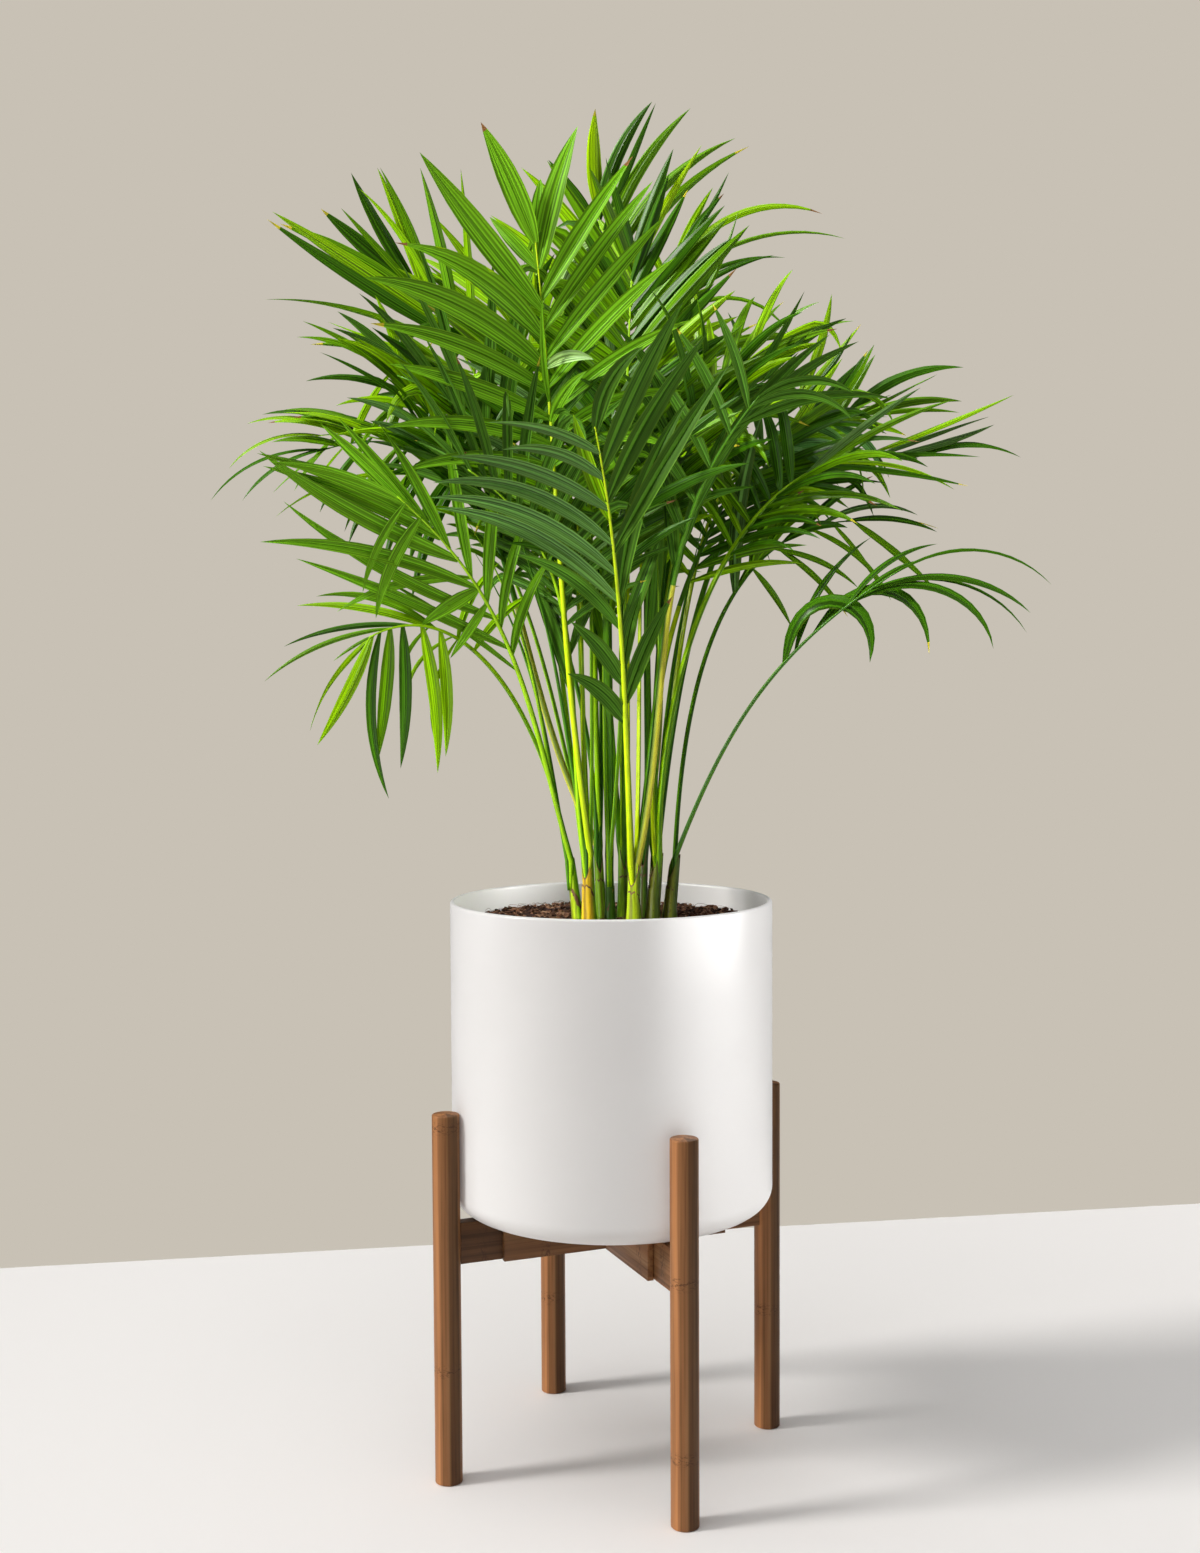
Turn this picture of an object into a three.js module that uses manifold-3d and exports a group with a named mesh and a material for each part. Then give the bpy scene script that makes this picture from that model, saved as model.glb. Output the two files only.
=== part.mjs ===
// A potted areca palm: a clump of slim canes with arching feather fronds, in a plain white
// cylinder pot on a four-legged wooden stand. Millimetres, +Z up, the front towards -Y.
// The origin is on the floor, under the middle of the whole plant.
import * as THREE from "three";
import { mergeVertices } from "three/addons/utils/BufferGeometryUtils.js";
import Module from "manifold-3d";

const wasm = await Module();
wasm.setup();

// Driving dimensions of the pot and the soil in it
const potRadius = 150;
const potBottom = 241.3;
const potRim = 528;
const potWall = 5;
const potFloor = 9;
const potCorner = 20;
const cornerSteps = 3;
const potSides = 36;
const soilTop = 507;
const soilDip = 2;
const soilLevel = 0.85;

// Driving dimensions of the stand
const legRadius = 12.5;
const legHeight = 340;
const legRing = 163;
const legSides = 20;
const legChamfer = 1.5;
const armNames = ["front", "right", "back", "left"];
const standTurn = THREE.MathUtils.degToRad(-67.8);
const railHeight = 40;
const sleeveWidth = 25;
const sleeveReach = 112;
const slotStart = 50;
const slideWidth = 12.4;
const slideDrop = 1;
const slideStart = 58;
const overcut = 1;

// Driving dimensions that the canes and fronds share
const gap = 0.3;
const caneSides = 8;
const caneFlare = 1.18;
const flareShare = 0.3;
const footRadius = 2.7;
const neckRadius = 2.1;
const tipRadius = 1.0;
const ribSteps = 12;
const ribSides = 3;
const handle = 0.4;
const swayEase = 0.45;
const fork = 0.99;
const stagger = 0.25;
const leafSteps = 8;
const leafRings = [
  { step: 2, width: 0.95 },
  { step: 5, width: 0.86 },
];
const leafThickness = 0.013;
const leastThickness = 1.6;
const basalSpread = 58;
const tipSpread = 16;
const spreadPower = 2.5;
const leafLift = 18;
const sagPower = 1.5;
const longestPlace = 0.45;
const basalLength = 0.62;
const tipLength = 0.75;

// How far the leaflets of a blade differ: degrees of spread and lift, share of the length
const spreadRange = 8;
const liftRange = 12;
const lengthRange = 0.16;

// Canes: name, x, y, radius, height above the soil, compass angle and degrees of the lean
const canes = [
  ["cane_01", -30, -6, 4.6, 58, 200, 8],
  ["cane_02", -20, -23, 5.8, 66, 250, 4],
  ["cane_03", -9, 6, 4.6, 70, 150, 3],
  ["cane_04", -1, -13, 4.2, 62, 265, 4],
  ["cane_05", 11, 10, 4.4, 74, 90, 3],
  ["cane_06", 21, -26, 6, 56, 275, 4],
  ["cane_07", 29, 5, 4.6, 78, 60, 3],
  ["cane_08", 38, -17, 6, 62, 330, 5],
  ["cane_09", 54, -6, 5.8, 60, 0, 5],
  ["cane_10", -20, 26, 5.2, 72, 150, 4],
  ["cane_11", 14, 36, 5.6, 76, 95, 4],
  ["cane_12", 40, 26, 5.2, 72, 50, 4],
];

// Fronds: name, cane, compass angle from +X, how far the tip reaches out and rises above the
// foot, lean from upright at the foot and at the tip, sideways sway, leaflet length and width,
// leaflet pairs, bare share of the stalk, roll of the blade, sag of the leaflets
const fronds = [
  ["frond_01", "cane_02", 242, 65, 553, 16, 8, -17, 172, 20, 11, 0.56, 0, 0.15],
  ["frond_02", "cane_06", 260, 171, 374, 11, 51, 0, 175, 14, 11, 0.38, 0, 0.3],
  ["frond_03", "cane_10", 150, 180, 540, 8, 42, 16, 190, 18, 11, 0.53, -30, 0.15],
  ["frond_04", "cane_11", 110, 100, 620, 24, 20, -15, 158, 16, 12, 0.55, 10, 0.2],
  ["frond_05", "cane_01", 214, 181, 325, 18, 55, 8, 180, 13, 10, 0.44, 48, 0.3],
  ["frond_06", "cane_09", -20, 212, 262, 22, 60, 0, 145, 11, 7, 0.6, 20, 1.5],
  ["frond_07", "cane_01", 204, 192, 205, 8, 118, 8, 150, 12, 8, 0.58, -75, 2.6],
  ["frond_08", "cane_08", 14, 262, 372, -1, 100, 18, 150, 12, 12, 0.52, 30, 0.8],
  ["frond_09", "cane_12", 34, 270, 420, 8, 87, -12, 150, 12, 12, 0.52, 35, 0.7],
  ["frond_10", "cane_03", 177, 262, 372, 0, 108, -20, 140, 10, 13, 0.48, -10, 0.8],
  ["frond_11", "cane_12", 78, 205, 585, -12, 50, 15, 170, 13, 12, 0.52, 25, 0.9],
  ["frond_12", "cane_08", 43, 235, 448, -6, 50, 30, 160, 13, 12, 0.5, 30, 0.5],
  ["frond_13", "cane_09", 18, 189, 316, 3, 88, 6, 140, 11, 10, 0.55, 30, 0.9],
  ["frond_14", "cane_03", 171, 196, 448, 27, 45, 0, 145, 11, 13, 0.52, -25, 0.5],
  ["frond_15", "cane_04", 80, 60, 440, 6, 50, 0, 165, 14, 11, 0.52, 0, 0.3],
  ["frond_16", "cane_06", 318, 140, 410, 16, 50, 0, 160, 13, 10, 0.6, -20, 0.4],
  ["frond_17", "cane_02", 205, 110, 345, 8, 60, 0, 150, 12, 11, 0.5, 25, 0.5],
  ["frond_18", "cane_02", 172, 175, 440, 8, 70, 0, 160, 13, 12, 0.5, 35, 0.5],
  ["frond_19", "cane_07", -10, 125, 425, 4, 65, 0, 150, 13, 11, 0.52, -20, 0.6],
  ["frond_20", "cane_05", 80, 60, 565, 0, 20, 0, 150, 16, 12, 0.56, 0, 0.2],
  ["frond_21", "cane_10", 125, 150, 525, 6, 50, 0, 160, 15, 12, 0.52, -15, 0.3],
  ["frond_22", "cane_11", 88, 230, 460, 8, 80, 0, 160, 13, 12, 0.5, 0, 0.5],
  ["frond_23", "cane_10", 168, 265, 390, 12, 95, 0, 155, 12, 12, 0.48, 0, 0.7],
  ["frond_24", "cane_12", 60, 275, 385, 12, 95, 0, 155, 12, 12, 0.48, 0, 0.7],
  ["frond_25", "cane_05", 104, 225, 310, 14, 90, 0, 150, 12, 11, 0.48, 0, 0.7],
  ["frond_26", "cane_07", 20, 110, 450, 16, 55, 0, 150, 13, 12, 0.54, 25, 0.6],
];

// A leaflet that meets another limb is tried again with these turns and lengths before it is
// left out: change of spread and of lift in degrees, share of its length.
const tries = [
  [0, 0, 1],
  [-7, 6, 0.95],
  [7, -8, 0.92],
  [-12, -12, 0.85],
  [10, 14, 0.8],
  [-4, 22, 0.7],
  [0, -20, 0.6],
];

const materials = {
  pot: new THREE.MeshStandardMaterial({ color: 0xe6e0dc, roughness: 0.35, metalness: 0 }),
  soil: new THREE.MeshStandardMaterial({ color: 0x3c2415, roughness: 0.95, metalness: 0 }),
  wood: new THREE.MeshStandardMaterial({ color: 0x82502d, roughness: 0.5, metalness: 0 }),
  cane: new THREE.MeshStandardMaterial({ color: 0x8fa528, roughness: 0.5, metalness: 0 }),
  leaf: new THREE.MeshStandardMaterial({ color: 0x4f8a1c, roughness: 0.45, metalness: 0 }),
};

const up = new THREE.Vector3(0, 0, 1);
const radians = THREE.MathUtils.degToRad;

// Solids

function solidFrom(geometry) {
  const bare = geometry.index ? geometry.toNonIndexed() : geometry.clone();
  bare.deleteAttribute("normal");
  bare.deleteAttribute("uv");
  const merged = mergeVertices(bare, 1e-4);
  const triVerts = new Uint32Array(merged.index.array);
  const vertProperties = new Float32Array(merged.attributes.position.array);
  return new wasm.Manifold(new wasm.Mesh({ numProp: 3, vertProperties, triVerts }));
}

function geometryFrom(solid) {
  const mesh = solid.getMesh();
  const geometry = new THREE.BufferGeometry();
  geometry.setAttribute("position", new THREE.BufferAttribute(mesh.vertProperties, 3));
  geometry.setIndex(new THREE.BufferAttribute(mesh.triVerts, 1));
  geometry.computeVertexNormals();
  return geometry;
}

function node(name, geometry, material) {
  const mesh = new THREE.Mesh(geometry, material);
  mesh.name = name;
  return mesh;
}

// A closed skin over sections of points, each turning anticlockwise about the way they run.
// A section of one point closes the skin to a tip.
function loft(sections) {
  const points = sections.flat();
  const starts = [];
  let count = 0;
  for (const section of sections) {
    starts.push(count);
    count += section.length;
  }
  const faces = [];
  for (let s = 0; s + 1 < sections.length; s += 1) {
    const here = starts[s];
    const there = starts[s + 1];
    const sides = Math.max(sections[s].length, sections[s + 1].length);
    for (let i = 0; i < sides; i += 1) {
      const j = (i + 1) % sides;
      if (sections[s].length === 1) faces.push(here, there + j, there + i);
      else if (sections[s + 1].length === 1) faces.push(here + i, here + j, there);
      else faces.push(here + i, here + j, there + j, here + i, there + j, there + i);
    }
  }
  const last = starts[sections.length - 1];
  for (let i = 1; i + 1 < sections[0].length; i += 1) faces.push(0, i + 1, i);
  for (let i = 1; i + 1 < sections.at(-1).length; i += 1) faces.push(last, last + i, last + i + 1);
  const geometry = new THREE.BufferGeometry().setFromPoints(points);
  geometry.setIndex(faces);
  return geometry;
}

// A regular section round a centre, from two unit vectors whose cross product is the way it runs
function ring(centre, across, above, radius, sides) {
  const points = [];
  for (let i = 0; i < sides; i += 1) {
    const turn = Math.PI / 2 + (i / sides) * 2 * Math.PI;
    const point = centre.clone().addScaledVector(across, Math.cos(turn) * radius);
    points.push(point.addScaledVector(above, Math.sin(turn) * radius));
  }
  return points;
}

// A solid of revolution about the z axis, from an outline of radius and height
function turned(outline, sides) {
  const apart = outline.filter((point, i) => !i || point.distanceTo(outline[i - 1]) > 0.01);
  const geometry = new THREE.LatheGeometry(apart, sides);
  geometry.rotateX(Math.PI / 2);
  return geometry;
}

// Pot and soil

function makePot() {
  const profile = new THREE.Path();
  const inner = potRadius - potWall;
  const lip = potWall / 2;
  profile.moveTo(0, potBottom);
  profile.lineTo(potRadius - potCorner, potBottom);
  profile.absarc(potRadius - potCorner, potBottom + potCorner, potCorner, -Math.PI / 2, 0, false);
  profile.lineTo(potRadius, potRim - lip);
  profile.absarc(potRadius - lip, potRim - lip, lip, 0, Math.PI, false);
  profile.lineTo(inner, potBottom + potFloor + potCorner);
  profile.lineTo(inner - potCorner, potBottom + potFloor);
  profile.lineTo(0, potBottom + potFloor);
  return node("pot", turned(profile.getPoints(cornerSteps), potSides), materials.pot);
}

function makeSoil() {
  const radius = potRadius - potWall - gap;
  const floor = potBottom + potFloor + gap;
  const outline = [
    new THREE.Vector2(0, floor),
    new THREE.Vector2(radius - potCorner, floor),
    new THREE.Vector2(radius, floor + potCorner),
    new THREE.Vector2(radius, soilTop - soilDip),
    new THREE.Vector2(radius * soilLevel, soilTop),
    new THREE.Vector2(0, soilTop),
  ];
  return node("soil", turned(outline, potSides), materials.soil);
}

// Stand

function makeLeg(index) {
  const outline = [
    new THREE.Vector2(0, 0),
    new THREE.Vector2(legRadius, 0),
    new THREE.Vector2(legRadius, legHeight - legChamfer),
    new THREE.Vector2(legRadius - legChamfer, legHeight),
    new THREE.Vector2(0, legHeight),
  ];
  const leg = node("leg_" + armNames[index], turned(outline, legSides), materials.wood);
  const turn = standTurn + (index * Math.PI) / 2;
  leg.position.set(legRing * Math.cos(turn), legRing * Math.sin(turn), 0);
  return leg;
}

// A box by its length along x, width and height, centred on x and y with its top at a height
function bar(length, width, height, centreX, top) {
  const geometry = new THREE.BoxGeometry(length, width, height);
  geometry.translate(centreX, 0, top - height / 2);
  return solidFrom(geometry);
}

// The outer rail of one arm pair, slotted at both ends and halved where it crosses the other
function makeSleeve(name, turn, halvedFromBelow) {
  const top = potBottom - gap;
  const slotLength = sleeveReach - slotStart + gap;
  const slotMiddle = slotStart + slotLength / 2;
  const slotWidth = slideWidth + 2 * gap;
  let solid = bar(2 * sleeveReach, sleeveWidth, railHeight, 0, top);
  for (const side of [-1, 1]) {
    const slot = bar(slotLength, slotWidth, railHeight + 2 * overcut, side * slotMiddle, top + overcut);
    solid = solid.subtract(slot);
  }
  const notchLength = sleeveWidth + 2 * gap;
  const notchHeight = railHeight / 2 + gap / 2 + overcut;
  const notchTop = halvedFromBelow ? top - railHeight / 2 + gap / 2 : top + overcut;
  solid = solid.subtract(bar(notchLength, sleeveWidth + 2 * overcut, notchHeight, 0, notchTop));
  const sleeve = node(name, geometryFrom(solid), materials.wood);
  sleeve.rotation.z = turn;
  return sleeve;
}

// The bar that slides in a sleeve's slot and meets its leg with a hollowed end
function makeSlide(index) {
  const length = legRing - slideStart;
  const boreRadius = legRadius + gap;
  const bore = new THREE.CylinderGeometry(boreRadius, boreRadius, legHeight, 2 * legSides);
  bore.rotateX(Math.PI / 2);
  bore.translate(legRing, 0, legHeight / 2);
  const height = railHeight - 2 * slideDrop;
  const blank = bar(length, slideWidth, height, slideStart + length / 2, potBottom - gap - slideDrop);
  const solid = blank.subtract(solidFrom(bore));
  const slide = node("slide_" + armNames[index], geometryFrom(solid), materials.wood);
  slide.rotation.z = standTurn + (index * Math.PI) / 2;
  return slide;
}

// Canes

function caneTop([, x, y, , height, compass, lean]) {
  const run = Math.tan(radians(lean)) * height;
  return new THREE.Vector3(
    x + Math.cos(radians(compass)) * run,
    y + Math.sin(radians(compass)) * run,
    soilTop + height,
  );
}

function makeCane(cane) {
  const [name, x, y, radius] = cane;
  const foot = new THREE.Vector3(x, y, soilTop + gap);
  const top = caneTop(cane);
  const across = new THREE.Vector3(1, 0, 0);
  const above = new THREE.Vector3(0, 1, 0);
  const middle = foot.clone().lerp(top, flareShare);
  const sections = [
    ring(foot, across, above, radius * caneFlare, caneSides),
    ring(middle, across, above, radius, caneSides),
    ring(top, across, above, radius, caneSides),
  ];
  return node(name, loft(sections), materials.cane);
}

// Fronds

// A number from 0 to 1 that is always the same for the same seed
function wobble(seed) {
  const value = Math.sin(seed * 12.9898 + 4.1) * 43758.5453;
  return value - Math.floor(value);
}

// Where a frond stands on its cane's top: round the rim in the order in which the fronds lean
function seatOf(row) {
  const mates = fronds.filter((other) => other[1] === row[1]).sort((a, b) => a[2] - b[2]);
  if (mates.length === 1) return new THREE.Vector3();
  const mean = mates.reduce((sum, other) => sum + other[2], 0) / mates.length;
  const turn = mean + (mates.indexOf(row) - (mates.length - 1) / 2) * (360 / mates.length);
  const reach = (footRadius + gap) / Math.sin(Math.PI / mates.length);
  return new THREE.Vector3(Math.cos(radians(turn)) * reach, Math.sin(radians(turn)) * reach, 0);
}

function frondFrom(row, index) {
  const [name, caneName, compass, reach, rise, lean, nod, sway, leaf, width, pairs, bare, roll, sag] = row;
  const cane = canes.find((c) => c[0] === caneName);
  const out = new THREE.Vector3(Math.cos(radians(compass)), Math.sin(radians(compass)), 0);
  const side = new THREE.Vector3(-out.y, out.x, 0);
  const foot = caneTop(cane).add(seatOf(row)).addScaledVector(up, gap);
  const tip = foot.clone().addScaledVector(out, reach).addScaledVector(up, rise);
  tip.addScaledVector(side, sway);
  const pull = Math.hypot(reach, rise) * handle;
  const start = foot.clone().addScaledVector(out, pull * Math.sin(radians(lean)));
  start.addScaledVector(up, pull * Math.cos(radians(lean)));
  const end = tip.clone().addScaledVector(out, -pull * Math.sin(radians(nod)));
  end.addScaledVector(up, -pull * Math.cos(radians(nod)));
  end.addScaledVector(side, -swayEase * sway);
  const curve = new THREE.CubicBezierCurve3(foot, start, end, tip);
  return { name, seed: (index + 1) * 97, curve, out, side, leaf, width, pairs, bare, roll, sag };
}

// The rib's point, its way on, the blade's side and its upper face at a share of the length
function frameAt(frond, share) {
  const along = frond.curve.getTangent(share);
  const level = frond.side.clone().addScaledVector(along, -frond.side.dot(along)).normalize();
  const face = along.clone().cross(level);
  const ease = THREE.MathUtils.smoothstep(share, 0, frond.bare);
  const roll = radians(frond.roll) * ease;
  const side = level.clone().multiplyScalar(Math.cos(roll)).addScaledVector(face, Math.sin(roll));
  const above = face.multiplyScalar(Math.cos(roll)).addScaledVector(level, -Math.sin(roll));
  return { point: frond.curve.getPoint(share), along, side, above };
}

function ribRadius(frond, share) {
  if (share < frond.bare) return THREE.MathUtils.lerp(footRadius, neckRadius, share / frond.bare);
  return THREE.MathUtils.lerp(neckRadius, tipRadius, (share - frond.bare) / (1 - frond.bare));
}

function makeRib(frond) {
  const sections = [];
  const footFace = frond.out.clone().negate();
  sections.push(ring(frond.curve.getPoint(0), frond.side, footFace, footRadius, ribSides));
  for (let i = 1; i <= ribSteps; i += 1) {
    const share = i / ribSteps;
    const { point, side, above } = frameAt(frond, share);
    sections.push(ring(point, side, above, ribRadius(frond, share), ribSides));
  }
  return solidFrom(loft(sections));
}

// How long a leaflet is against the longest one, from the blade's foot to its tip
function lengthShare(place) {
  if (place < longestPlace) {
    const rise = Math.sin(((Math.PI / 2) * place) / longestPlace);
    return basalLength + (1 - basalLength) * rise;
  }
  const past = (place - longestPlace) / (1 - longestPlace);
  return 1 - (1 - tipLength) * past ** 2;
}

// One leaflet as points on its midrib, with the way on and the upper face at each
function leafletPath(frond, place, side, seed, attempt) {
  const [moreSpread, moreLift, lengthFactor] = attempt;
  const share = frond.bare + (fork - frond.bare) * place;
  const at = frameAt(frond, share);
  const spreadHere = THREE.MathUtils.lerp(basalSpread, tipSpread, place ** spreadPower);
  const spread = radians(spreadHere + spreadRange * (wobble(seed) - 0.5) + moreSpread);
  const lift = radians(leafLift + liftRange * (wobble(seed + 0.5) - 0.5) + moreLift);
  const flat = at.along.clone().multiplyScalar(Math.cos(spread));
  flat.addScaledVector(at.side, side * Math.sin(spread));
  const aim = flat.multiplyScalar(Math.cos(lift)).addScaledVector(at.above, Math.sin(lift));
  const ownLength = 1 + lengthRange * (wobble(seed + 0.25) - 0.5);
  const length = frond.leaf * lengthShare(place) * ownLength * lengthFactor;
  const path = [{ point: at.point.clone(), way: aim.clone() }];
  let way = aim.clone();
  for (let k = 1; k <= leafSteps; k += 1) {
    const point = path[k - 1].point.clone().addScaledVector(way, length / leafSteps);
    path.push({ point, way: way.clone() });
    way = aim.clone().addScaledVector(up, -frond.sag * (k / leafSteps) ** sagPower).normalize();
  }
  return { path, length, above: at.above, width: frond.width * lengthShare(place) };
}

// A blade with a flat underside and a low ridge, from a point sunk in the rib to its tip
function makeLeaflet(leaflet, margin) {
  const { path, length, above, width } = leaflet;
  const sections = [[path[0].point]];
  for (const { step, width: part } of leafRings) {
    const { point, way } = path[step];
    const face = above.clone().addScaledVector(way, -above.dot(way)).normalize();
    const across = face.clone().cross(way);
    const reach = (width * part) / 2 + margin;
    const ridge = Math.max(leastThickness, length * leafThickness) + margin;
    const edge = point.clone().addScaledVector(face, -margin);
    sections.push([
      edge.clone().addScaledVector(across, reach),
      point.clone().addScaledVector(face, ridge),
      edge.clone().addScaledVector(across, -reach),
    ]);
  }
  sections.push([path[leafSteps].point.clone().addScaledVector(path[leafSteps].way, margin)]);
  return solidFrom(loft(sections));
}

function boxOf(solid) {
  const { min, max } = solid.boundingBox();
  return new THREE.Box3(new THREE.Vector3(...min), new THREE.Vector3(...max));
}

// Whether a solid meets any of the other limbs' solids
function meets(solid, owner, placed) {
  const box = boxOf(solid);
  for (const other of placed) {
    if (other.owner === owner || !box.intersectsBox(other.box)) continue;
    if (!solid.intersect(other.solid).isEmpty()) return true;
  }
  return false;
}

function growBlade(frond, placed) {
  const pieces = [placed.find((item) => item.owner === frond.name).solid];
  for (let i = 0; i < frond.pairs; i += 1) {
    for (const side of [-1, 1]) {
      const seed = frond.seed + 2 * i + (side > 0 ? 1 : 0);
      const place = i === frond.pairs - 1 ? 1 : (i + 0.5 + stagger * side) / frond.pairs;
      for (const attempt of tries) {
        const leaflet = leafletPath(frond, place, side, seed, attempt);
        if (meets(makeLeaflet(leaflet, gap), frond.name, placed)) continue;
        const solid = makeLeaflet(leaflet, 0);
        placed.push({ owner: frond.name, solid, box: boxOf(solid) });
        pieces.push(solid);
        break;
      }
    }
  }
  const joined = wasm.Manifold.union(pieces);
  return joined.decompose().sort((a, b) => b.volume() - a.volume())[0];
}

function buildPlant() {
  const group = new THREE.Group();
  const limbs = fronds.map(frondFrom);
  const placed = [];
  for (const cane of canes) {
    const mesh = makeCane(cane);
    group.add(mesh);
    const solid = solidFrom(mesh.geometry);
    placed.push({ owner: mesh.name, solid, box: boxOf(solid) });
  }
  for (const frond of limbs) {
    const solid = makeRib(frond);
    placed.push({ owner: frond.name, solid, box: boxOf(solid) });
  }
  for (const frond of limbs) {
    group.add(node(frond.name, geometryFrom(growBlade(frond, placed)), materials.leaf));
  }
  return group;
}

function buildStand() {
  const group = new THREE.Group();
  group.add(makeSleeve("sleeve_front_back", standTurn, true));
  group.add(makeSleeve("sleeve_left_right", standTurn + Math.PI / 2, false));
  for (let index = 0; index < armNames.length; index += 1) {
    group.add(makeLeg(index), makeSlide(index));
  }
  return group;
}

const palm = new THREE.Group();
palm.add(makePot(), makeSoil(), buildStand(), buildPlant());

// The whole is moved so that the middle of its box stands over the origin
const middle = new THREE.Box3().setFromObject(palm, true).getCenter(new THREE.Vector3());
palm.position.set(-middle.x, -middle.y, 0);
const part = new THREE.Group();
part.add(palm);

export default part;
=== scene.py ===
import math

import bmesh
import bpy
import numpy as np
from mathutils import Matrix, Vector, noise


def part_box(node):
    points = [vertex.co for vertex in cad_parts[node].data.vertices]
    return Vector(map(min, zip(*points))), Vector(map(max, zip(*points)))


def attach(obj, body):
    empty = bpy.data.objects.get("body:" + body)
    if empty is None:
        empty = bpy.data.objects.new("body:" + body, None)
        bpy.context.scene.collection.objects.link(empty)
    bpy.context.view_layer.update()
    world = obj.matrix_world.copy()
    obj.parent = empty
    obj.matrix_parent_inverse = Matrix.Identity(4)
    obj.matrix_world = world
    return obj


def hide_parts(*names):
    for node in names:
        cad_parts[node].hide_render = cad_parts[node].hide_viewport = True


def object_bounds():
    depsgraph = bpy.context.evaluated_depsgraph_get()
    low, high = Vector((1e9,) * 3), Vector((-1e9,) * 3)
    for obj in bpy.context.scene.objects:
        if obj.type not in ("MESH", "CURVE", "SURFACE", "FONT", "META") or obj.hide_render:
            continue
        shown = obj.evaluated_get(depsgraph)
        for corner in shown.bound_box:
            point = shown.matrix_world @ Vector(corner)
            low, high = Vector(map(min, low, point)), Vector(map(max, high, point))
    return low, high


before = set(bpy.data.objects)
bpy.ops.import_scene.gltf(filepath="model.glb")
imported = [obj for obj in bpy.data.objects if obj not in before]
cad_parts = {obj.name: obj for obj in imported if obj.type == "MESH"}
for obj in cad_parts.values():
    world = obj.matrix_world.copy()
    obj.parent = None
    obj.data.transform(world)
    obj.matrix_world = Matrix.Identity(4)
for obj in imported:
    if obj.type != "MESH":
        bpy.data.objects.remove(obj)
cadBounds = [list(corner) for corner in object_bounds()]

mm = 0.001
potLow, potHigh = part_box("pot")
potMiddle = Vector(((potLow.x + potHigh.x) / 2, (potLow.y + potHigh.y) / 2, 0))
potOffset = np.array([potMiddle.x, potMiddle.y, 0])
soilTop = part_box("soil")[1].z
print("frame loaded, pot centre at", tuple(round(c, 4) for c in potMiddle))


# Camera, placed from the pot's foot

cameraStyle = {
    "place": (0, -1.67545, 0.73125),
    "yaw": -0.0058,
    "pitch": -0.053,
    "roll": -0.0051,
    "lens": 41.77,
    "sensor": 36,
}


def makeCamera():
    yaw, pitch, roll = (cameraStyle[key] for key in ("yaw", "pitch", "roll"))
    data = bpy.data.cameras.new("photoCamera")
    data.lens = cameraStyle["lens"]
    data.sensor_width = cameraStyle["sensor"]
    camera = bpy.data.objects.new("photoCamera", data)
    bpy.context.scene.collection.objects.link(camera)
    ahead = Vector((math.sin(yaw) * math.cos(pitch), math.cos(yaw) * math.cos(pitch), math.sin(pitch)))
    right = Vector((math.cos(yaw), -math.sin(yaw), 0))
    above = right.cross(ahead)
    rightRolled = right * math.cos(roll) + above * math.sin(roll)
    aboveRolled = above * math.cos(roll) - right * math.sin(roll)
    turn = Matrix((rightRolled, aboveRolled, -ahead)).transposed().to_4x4()
    camera.matrix_world = Matrix.Translation(potMiddle + Vector(cameraStyle["place"])) @ turn
    bpy.context.scene.camera = camera


makeCamera()
print("camera placed")


# Helpers for materials

def newMaterial(name):
    material = bpy.data.materials.new(name)
    material.use_nodes = True
    tree = material.node_tree
    return material, tree, tree.nodes["Principled BSDF"]


def feed(tree, socket, value):
    # links an output to the socket, or sets the socket's own value
    if isinstance(value, bpy.types.NodeSocket):
        tree.links.new(value, socket)
    elif socket.type == "RGBA":
        socket.default_value = (*value, 1)
    else:
        socket.default_value = value


def addNode(tree, kind, settings=None, **inputs):
    node = tree.nodes.new(kind)
    for key, value in (settings or {}).items():
        setattr(node, key, value)
    for key, value in inputs.items():
        feed(tree, node.inputs[key.replace("_", " ")], value)
    return node


def objectPlace(tree):
    return addNode(tree, "ShaderNodeTexCoord").outputs["Object"]


def leafPlace(tree):
    # along the blade or stalk and across it
    return addNode(tree, "ShaderNodeUVMap", {"uv_map": "leafPlace"}).outputs["UV"]


def addStretch(tree, source, scale, location=(0, 0, 0), rotation=(0, 0, 0), kind="POINT"):
    node = addNode(
        tree, "ShaderNodeMapping", {"vector_type": kind},
        Vector=source, Scale=scale, Location=location, Rotation=rotation,
    )
    return node.outputs["Vector"]


def addNoise(tree, vector, scale=1, detail=2, roughness=0.5, distortion=0):
    node = addNode(
        tree, "ShaderNodeTexNoise",
        Vector=vector, Scale=scale, Detail=detail, Roughness=roughness, Distortion=distortion,
    )
    return node.outputs["Fac"]


def addGrain(tree, place, stretch, detail=2, roughness=0.5, distortion=0):
    # noise drawn out along the axes with the small numbers
    return addNoise(tree, addStretch(tree, place, stretch), 1, detail, roughness, distortion)


def addRamp(tree, value, stops):
    ramp = addNode(tree, "ShaderNodeValToRGB", Fac=value)
    elements = ramp.color_ramp.elements
    while len(elements) < len(stops):
        elements.new(0.5)
    for element, (place, colour) in zip(elements, stops):
        element.position = place
        element.color = (*colour, 1)
    return ramp.outputs["Color"]


def addMix(tree, share, first, second, blend="MIX"):
    mix = addNode(tree, "ShaderNodeMix", {"data_type": "RGBA", "blend_type": blend})
    for place, value in ((0, share), (6, first), (7, second)):
        feed(tree, mix.inputs[place], value)
    return mix.outputs[2]


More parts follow.
